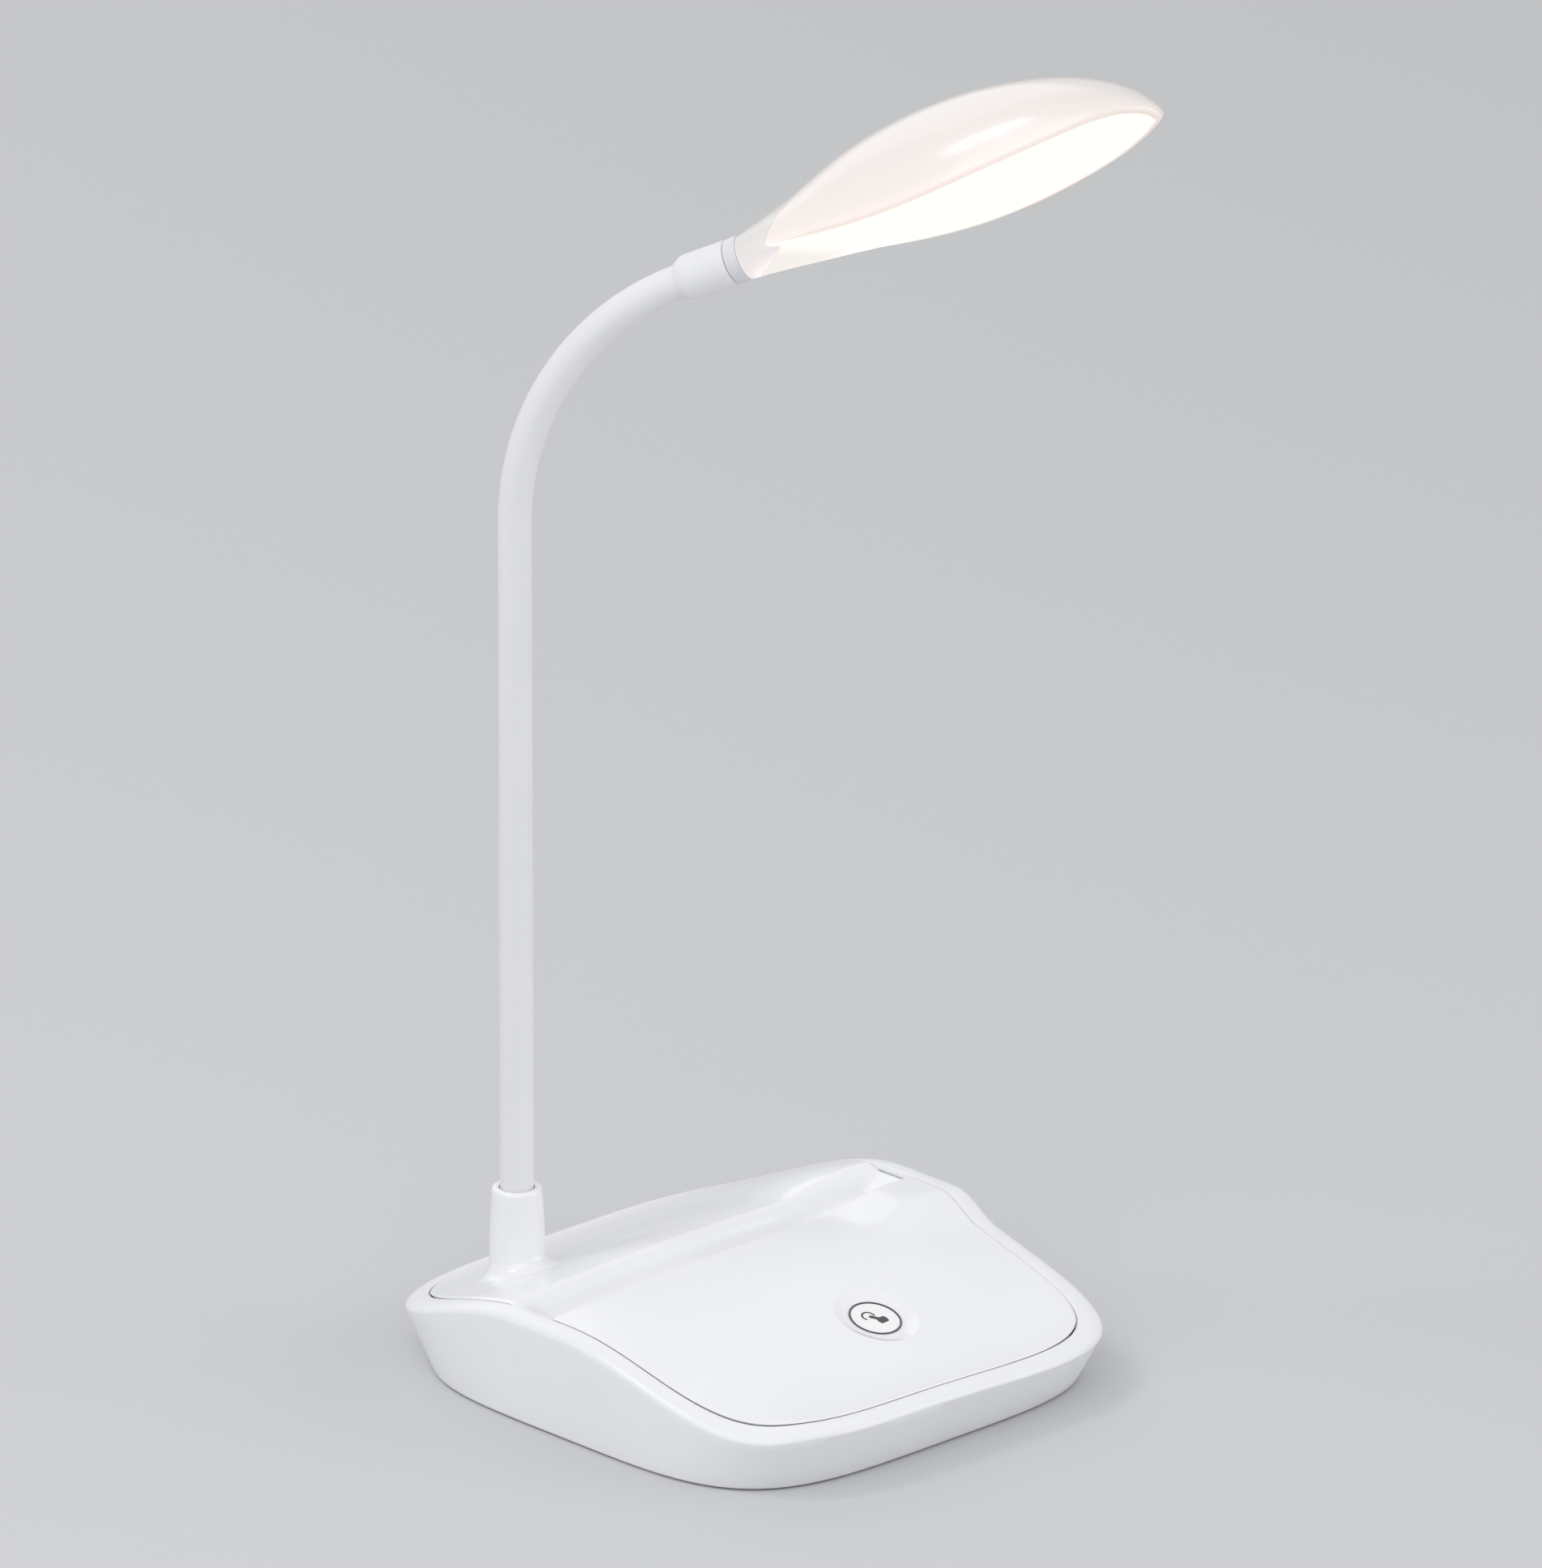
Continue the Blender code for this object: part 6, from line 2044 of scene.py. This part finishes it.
@dataclass
class Underside:
    """Feet and screws under the base.

    The shares are of a foot's or a screw head's radius, at the face first and then inside.
    """

    foot_sides: int = 64
    foot_round: float = 0.7 * MM
    dimple_depth: float = 0.3 * MM
    dimple_shares: tuple[float, float] = (0.55, 0.45)
    dimple_round: float = 0.4 * MM
    screw_sides: int = 48
    screw_round: float = 0.35 * MM
    head_height: float = 0.9 * MM
    cross_width: float = 0.8 * MM
    cross_shares: tuple[float, float] = (0.62, 0.35)
    cross_depth: float = 0.65 * MM
    cross_below: float = 0.2 * MM

    def foot(self, node: str) -> bpy.types.Object:
        """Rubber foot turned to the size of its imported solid, with a rounded edge and a dimple.

        Args:
            node: Name of the solid.

        Returns:
            The piece.
        """
        low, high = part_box(node)
        radius, middle = (high.x - low.x) / 2, (low + high) / 2
        sole, floor = self.dimple_shares
        corners = [
            (0, high.z, 0),
            (radius, high.z, 0.1 * MM),
            (radius, low.z, self.foot_round),
            (radius * sole, low.z, self.dimple_round),
            (radius * floor, low.z + self.dimple_depth, self.dimple_round),
            (0, low.z + self.dimple_depth, 0),
        ]
        grid = turn_profile(round_corners(corners), self.foot_sides)
        piece = surface(f"rubber_{node}", grid + np.array([middle.x, middle.y, 0]), False, True)
        return settle(piece, FOOT_RUBBER, Body.BASE, (node,))

    def screw(self, node: str) -> bpy.types.Object:
        """Screw with a domed head and a cross recess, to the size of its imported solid.

        Args:
            node: Name of the solid.

        Returns:
            The piece.
        """
        low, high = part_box(node)
        radius, middle = (high.x - low.x) / 2, (low + high) / 2
        head, shank = self.head_height, radius / 2
        corners = [
            (0, high.z, 0),
            (shank * 0.4, high.z, 0.1 * MM),
            (shank, high.z - shank, 0.2 * MM),
            (shank, low.z + head, 0),
            (radius, low.z + head, 0.05 * MM),
            (radius, low.z + head / 2, self.screw_round),
            (radius * 0.6, low.z, self.screw_round),
            (0, low.z, 0),
        ]
        grid = turn_profile(round_corners(corners), self.screw_sides)
        grid = grid + np.array([middle.x, middle.y, 0])
        piece = surface(f"steel_{node}", grid, False, True)
        for turn in (0.0, math.pi / 2):
            place = Matrix.Translation((middle.x, middle.y, low.z))
            carve(piece, self.slot_cutter(place @ Matrix.Rotation(turn, 4, "Z"), radius))
        smooth(piece, 35)
        return settle(piece, ZINC, Body.BASE, (node,))

    def slot_cutter(self, frame: Matrix, radius: float) -> bpy.types.Object:
        """Bar that cuts one slot of a cross recess: a tapered box from below the head.

        Args:
            frame: Frame at the middle of the head's face, X along the slot.
            radius: Radius of the head.

        Returns:
            The cutter.
        """
        share = np.array([[-1, -1], [1, -1], [1, 1], [-1, 1]], float)
        face, inside = self.cross_shares
        wide = share * np.array([radius * face, self.cross_width / 2])
        deep = share * np.array([radius * inside, self.cross_width / 3])
        under = np.column_stack([wide, np.full(4, -self.cross_below)])
        over = np.column_stack([deep, np.full(4, self.cross_depth)])
        return surface("slot", moved(np.stack([under, over]), frame), False, True)

    def build(self) -> None:
        """Make the four feet and the four screws."""
        for index in range(1, 5):
            self.foot(f"foot_{index}")
            self.screw(f"base_screw_{index}")


@dataclass
class ChargingInlet:
    """Metal inlet and charge light in the rear wall.

    The tongue stands back from the mouth, whose edge has the bevel. The contacts' ends are
    measured from the tongue's front, and their spread is a share of its half width.
    """

    housing: bpy.types.Object
    shell: float = 0.35 * MM
    clearance: float = 0.15 * MM
    cut_reach: float = 4.0 * MM
    bevel: float = 0.1 * MM
    bevel_share: float = 0.7
    tongue_height: float = 0.7 * MM
    tongue_back: float = 1.2 * MM
    contacts: int = 6
    contact_half_width: float = 0.22 * MM
    contact_proud: float = 0.03 * MM
    contact_ends: tuple[float, float] = (2.6 * MM, 0.3 * MM)
    contact_spread: float = 1.4
    dome: float = 0.15 * MM
    dome_round: float = 0.5 * MM
    pipe_sides: int = 40

    def stadium(self, half_width: float, half_height: float) -> np.ndarray:
        """Outline with round ends: two half circles joined by straight lines.

        Args:
            half_width: Half of the width over the round ends.
            half_height: Radius of the round ends.

        Returns:
            x and z of the outline.
        """
        turn = np.radians(np.linspace(-90, 90, 17))
        reach = half_width - half_height
        right = np.column_stack([reach + half_height * np.cos(turn), half_height * np.sin(turn)])
        return np.vstack([right, -right])

    def sweep(self, outline: np.ndarray, x: float, z: float, places: list[float]) -> np.ndarray:
        """Carry an outline straight along the base's depth.

        Args:
            outline: x and z of the outline.
            x: Place of its middle across the frame.
            z: Height of its middle.
            places: y of each row.

        Returns:
            Points of the frame, one row for each place.
        """
        rows = [
            np.column_stack([outline[:, 0] + x, np.full(len(outline), y), outline[:, 1] + z])
            for y in places
        ]
        return np.stack(rows)

    def build(self) -> None:
        """Cut the opening, then make the inlet, its tongue and contacts and the charge light."""
        low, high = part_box("charging_port")
        x, z = (low.x + high.x) / 2, (low.z + high.z) / 2
        half_width, half_height = (high.x - low.x) / 2, (high.z - low.z) / 2
        opening = self.stadium(half_width + self.clearance, half_height + self.clearance)
        cutter = self.sweep(opening, x, z, [high.y + self.cut_reach, low.y])
        carve(self.housing, surface("opening", cutter, False, True))
        self.light_pipe()
        smooth(self.housing, 35)
        outer = self.stadium(half_width, half_height)
        inner = self.stadium(half_width - self.shell, half_height - self.shell)
        back, front = low.y, high.y
        mouth = inner * (1 - self.bevel_share) + outer * self.bevel_share
        rows = [
            self.sweep(outer, x, z, [back, front - self.bevel]),
            self.sweep(mouth, x, z, [front]),
            self.sweep(inner, x, z, [front - self.bevel, back + 2 * self.shell]),
        ]
        piece = surface("inlet_shell", np.concatenate(rows), False, True)
        settle(piece, ZINC, Body.BASE, ("charging_port",))
        tongue_half = half_width - half_height
        bar = self.stadium(tongue_half, self.tongue_height / 2)
        tip = front - self.tongue_back
        grid = self.sweep(bar, x, z, [back + self.shell, tip])
        settle(surface("inlet_tongue", grid, False, True), PRINT_GREY, Body.BASE)
        half_contact = self.tongue_height / 2 + self.contact_proud
        strip = self.stadium(self.contact_half_width, half_contact)
        ends = [tip - distance for distance in self.contact_ends]
        for index in range(self.contacts):
            share = (index + 0.5) / self.contacts - 0.5
            grid = self.sweep(strip, x + tongue_half * self.contact_spread * share, z, ends)
            piece = surface(f"inlet_contact_{index + 1}", grid, False, True)
            settle(piece, GOLD_CONTACT, Body.BASE)

    def light_pipe(self) -> None:
        """Round light beside the inlet: its hole in the wall and a domed clear pipe."""
        low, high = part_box("charge_light_pipe")
        middle, radius = (low + high) / 2, (high.x - low.x) / 2
        place = Matrix.Translation((middle.x, high.y, middle.z))
        place = place @ Matrix.Rotation(-math.pi / 2, 4, "X")
        reach, wide, out = high.y - low.y, radius + self.clearance, self.cut_reach
        hole = np.array([[0, out], [wide, out], [wide, -reach], [0, -reach]])
        grid = moved(turn_profile(hole, self.pipe_sides), place)
        carve(self.housing, surface("hole", grid, False, True))
        corners = [
            (0, 0, 0),
            (radius, -self.dome, self.dome_round),
            (radius, -reach, 0),
            (0, -reach, 0),
        ]
        grid = moved(turn_profile(round_corners(corners), self.pipe_sides), place)
        piece = surface("charge_light", grid, False, True)
        settle(piece, LIGHT_PIPE, Body.BASE, ("charge_light_pipe",))


@dataclass(frozen=True)
class SoftLamp:
    """Rectangular area light that faces the object.

    Attributes:
        name: Name of the light.
        spot: Where it hangs, in metres from the point that the camera looks at.
        sides: Lengths of its sides in metres.
        power: Its power in watts.
    """

    name: str
    spot: tuple[float, float, float]
    sides: tuple[float, float]
    power: float


@dataclass
class Studio:
    """Pale floor, soft light and the camera.

    Attributes:
        shift_y: Place of the base's middle in the frame.
        target: Point that the camera looks at, from the base's middle at the floor.
        azimuth_deg: Turn of the camera from straight ahead, to the left.
        elevation_deg: Height of the camera above the level, as an angle.
        distance: Distance of the camera in metres.
        focal_px: Focal length in the photograph's pixels.
        sensor: Height of the camera's sensor in millimetres.
        clip: Nearest and farthest distance that the camera sees, in metres.
        floor_radius: Radius of the floor in metres.
        floor_sides: Number of the floor's sides.
        sky_strength: Strength of the white sky that lights the object.
        lamps: The soft lights: a key, a narrow window, a fill and one behind.
    """

    shift_y: float
    target: tuple[float, float, float] = (44.07 * MM, 40.09 * MM, 155.26 * MM)
    azimuth_deg: float = -43.64
    elevation_deg: float = 20.95
    distance: float = 9.1996
    focal_px: float = 40000.0
    sensor: float = 36.0
    clip: tuple[float, float] = (0.1, 100.0)
    floor_radius: float = 20.0
    floor_sides: int = 64
    sky_strength: float = 0.59
    lamps: tuple[SoftLamp, ...] = (
        SoftLamp("key", (-1.5, -0.55, 1.25), (2.0, 2.0), 15.2),
        SoftLamp("window", (-0.90, 0.52, 1.47), (0.30, 0.66), 4.0),
        SoftLamp("fill", (1.15, -1.5, 0.35), (1.5, 1.5), 11.6),
        SoftLamp("back", (0.4, 1.4, 1.0), (1.4, 1.4), 4.2),
    )

    def aim(self) -> Vector:
        """Point of the frame that the camera looks at."""
        return Vector(self.target) + Vector((0, self.shift_y, 0))

    def back(self) -> Vector:
        """Work out the direction from the object to the camera.

        Returns:
            The direction, of length 1.
        """
        turn, rise = math.radians(self.azimuth_deg), math.radians(self.elevation_deg)
        level = math.cos(rise)
        return Vector((math.sin(turn) * level, -math.cos(turn) * level, math.sin(rise)))

    def camera(self) -> None:
        """Make the camera: its focal length comes from the one fitted in pixels."""
        lens = bpy.data.cameras.new("camera")
        lens.sensor_fit = "VERTICAL"
        lens.sensor_height = self.sensor
        lens.sensor_width = self.sensor * IMAGE_WIDTH / IMAGE_HEIGHT
        lens.lens = self.focal_px * self.sensor / IMAGE_HEIGHT
        lens.clip_start, lens.clip_end = self.clip
        made = new_object("camera", lens)
        back = self.back()
        made.matrix_world = back.to_track_quat("Z", "Y").to_matrix().to_4x4()
        made.location = self.aim() + back * self.distance
        bpy.context.scene.camera = made

    def softbox(self, lamp: SoftLamp) -> None:
        """Hang a soft light that faces the object and isn't seen itself.

        Args:
            lamp: The light.
        """
        light = bpy.data.lights.new(lamp.name, "AREA")
        light.shape = "RECTANGLE"
        light.size, light.size_y = lamp.sides
        light.energy = lamp.power
        made = new_object(lamp.name, light)
        spot = Vector(lamp.spot)
        made.matrix_world = spot.to_track_quat("Z", "Y").to_matrix().to_4x4()
        made.location = self.aim() + spot
        made.visible_camera = False

    def floor(self) -> None:
        """Lay a large round floor of pale matte paint."""
        profile = np.array([[0.0, 0.0], [self.floor_radius, 0.0]])
        grid = turn_profile(profile, self.floor_sides)
        made = surface("floor", grid, wrap_columns=True, ends=Opening.LEFT_OPEN)
        made.data.materials.append(FLOOR_PAINT.material())

    def world(self) -> None:
        """Light everything evenly from a plain pale sky."""
        sky = bpy.data.worlds.new("studio")
        bpy.context.scene.world = sky
        sky.use_nodes = True
        tree = sky.node_tree
        tree.nodes.clear()
        path = add_node(tree, "ShaderNodeLightPath")
        seen = path.outputs["Is Camera Ray"]
        for ray in ("Is Glossy Ray", "Is Transmission Ray"):
            either = add_node(tree, "ShaderNodeMath", {"operation": "MAXIMUM"})
            tree.links.new(seen, either.inputs[0])
            tree.links.new(path.outputs[ray], either.inputs[1])
            seen = either.outputs[0]
        white = {"Color": (1, 1, 1, 1), "Strength": self.sky_strength}
        light = add_node(tree, "ShaderNodeBackground", white)
        plain = {"Color": srgb_to_linear(FLOOR_COLOUR), "Strength": 1.0}
        pale = add_node(tree, "ShaderNodeBackground", plain)
        mix = add_node(tree, "ShaderNodeMixShader", None, {"Fac": seen})
        tree.links.new(light.outputs[0], mix.inputs[1])
        tree.links.new(pale.outputs[0], mix.inputs[2])
        out = add_node(tree, "ShaderNodeOutputWorld")
        tree.links.new(mix.outputs[0], out.inputs["Surface"])

    def build(self) -> None:
        """Set up floor, sky, lights and camera."""
        self.floor()
        self.world()
        for lamp in self.lamps:
            self.softbox(lamp)
        self.camera()


def dress_hidden(nodes: dict[str, bpy.types.Object]) -> None:
    """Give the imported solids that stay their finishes.

    Args:
        nodes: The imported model's nodes by name.
    """
    for name, finish in HIDDEN_FINISHES.items():
        dress(nodes[name], finish)
    for name, node in nodes.items():
        if name.startswith("arm_core"):
            dress(node, ZINC)


def main() -> None:
    """Load the frame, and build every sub-assembly and the studio."""
    logging.basicConfig(level=logging.INFO, format="%(name)s: %(message)s")
    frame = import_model()
    low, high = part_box("base_housing")
    form = BaseForm(shift_y=(low.y + high.y) / 2 - BaseForm.rim_shift_y)
    housing = BaseHousing(form).build()
    deck = Deck(form)
    deck.build()
    TouchButton(deck.button_frame()).build()
    collar = Collar(form)
    collar.build()
    Underside().build()
    ChargingInlet(housing).build()
    path = ArmPath(collar.x, collar.y + form.shift_y)
    bends = [joint for joint in frame["joints"] if joint["child"] != Body.HEAD.value]
    Gooseneck(path, collar.root() + collar.seat, bends).build()
    head_frame = path.frame(path.length, HEAD_ROLL_DEG)
    NeckEnd(head_frame).build()
    LampHead(HeadForm(head_frame)).build()
    dress_hidden(frame["nodes"])
    Studio(form.shift_y).build()
    bpy.context.scene.view_settings.view_transform = "Standard"


if __name__ == "__main__":
    main()
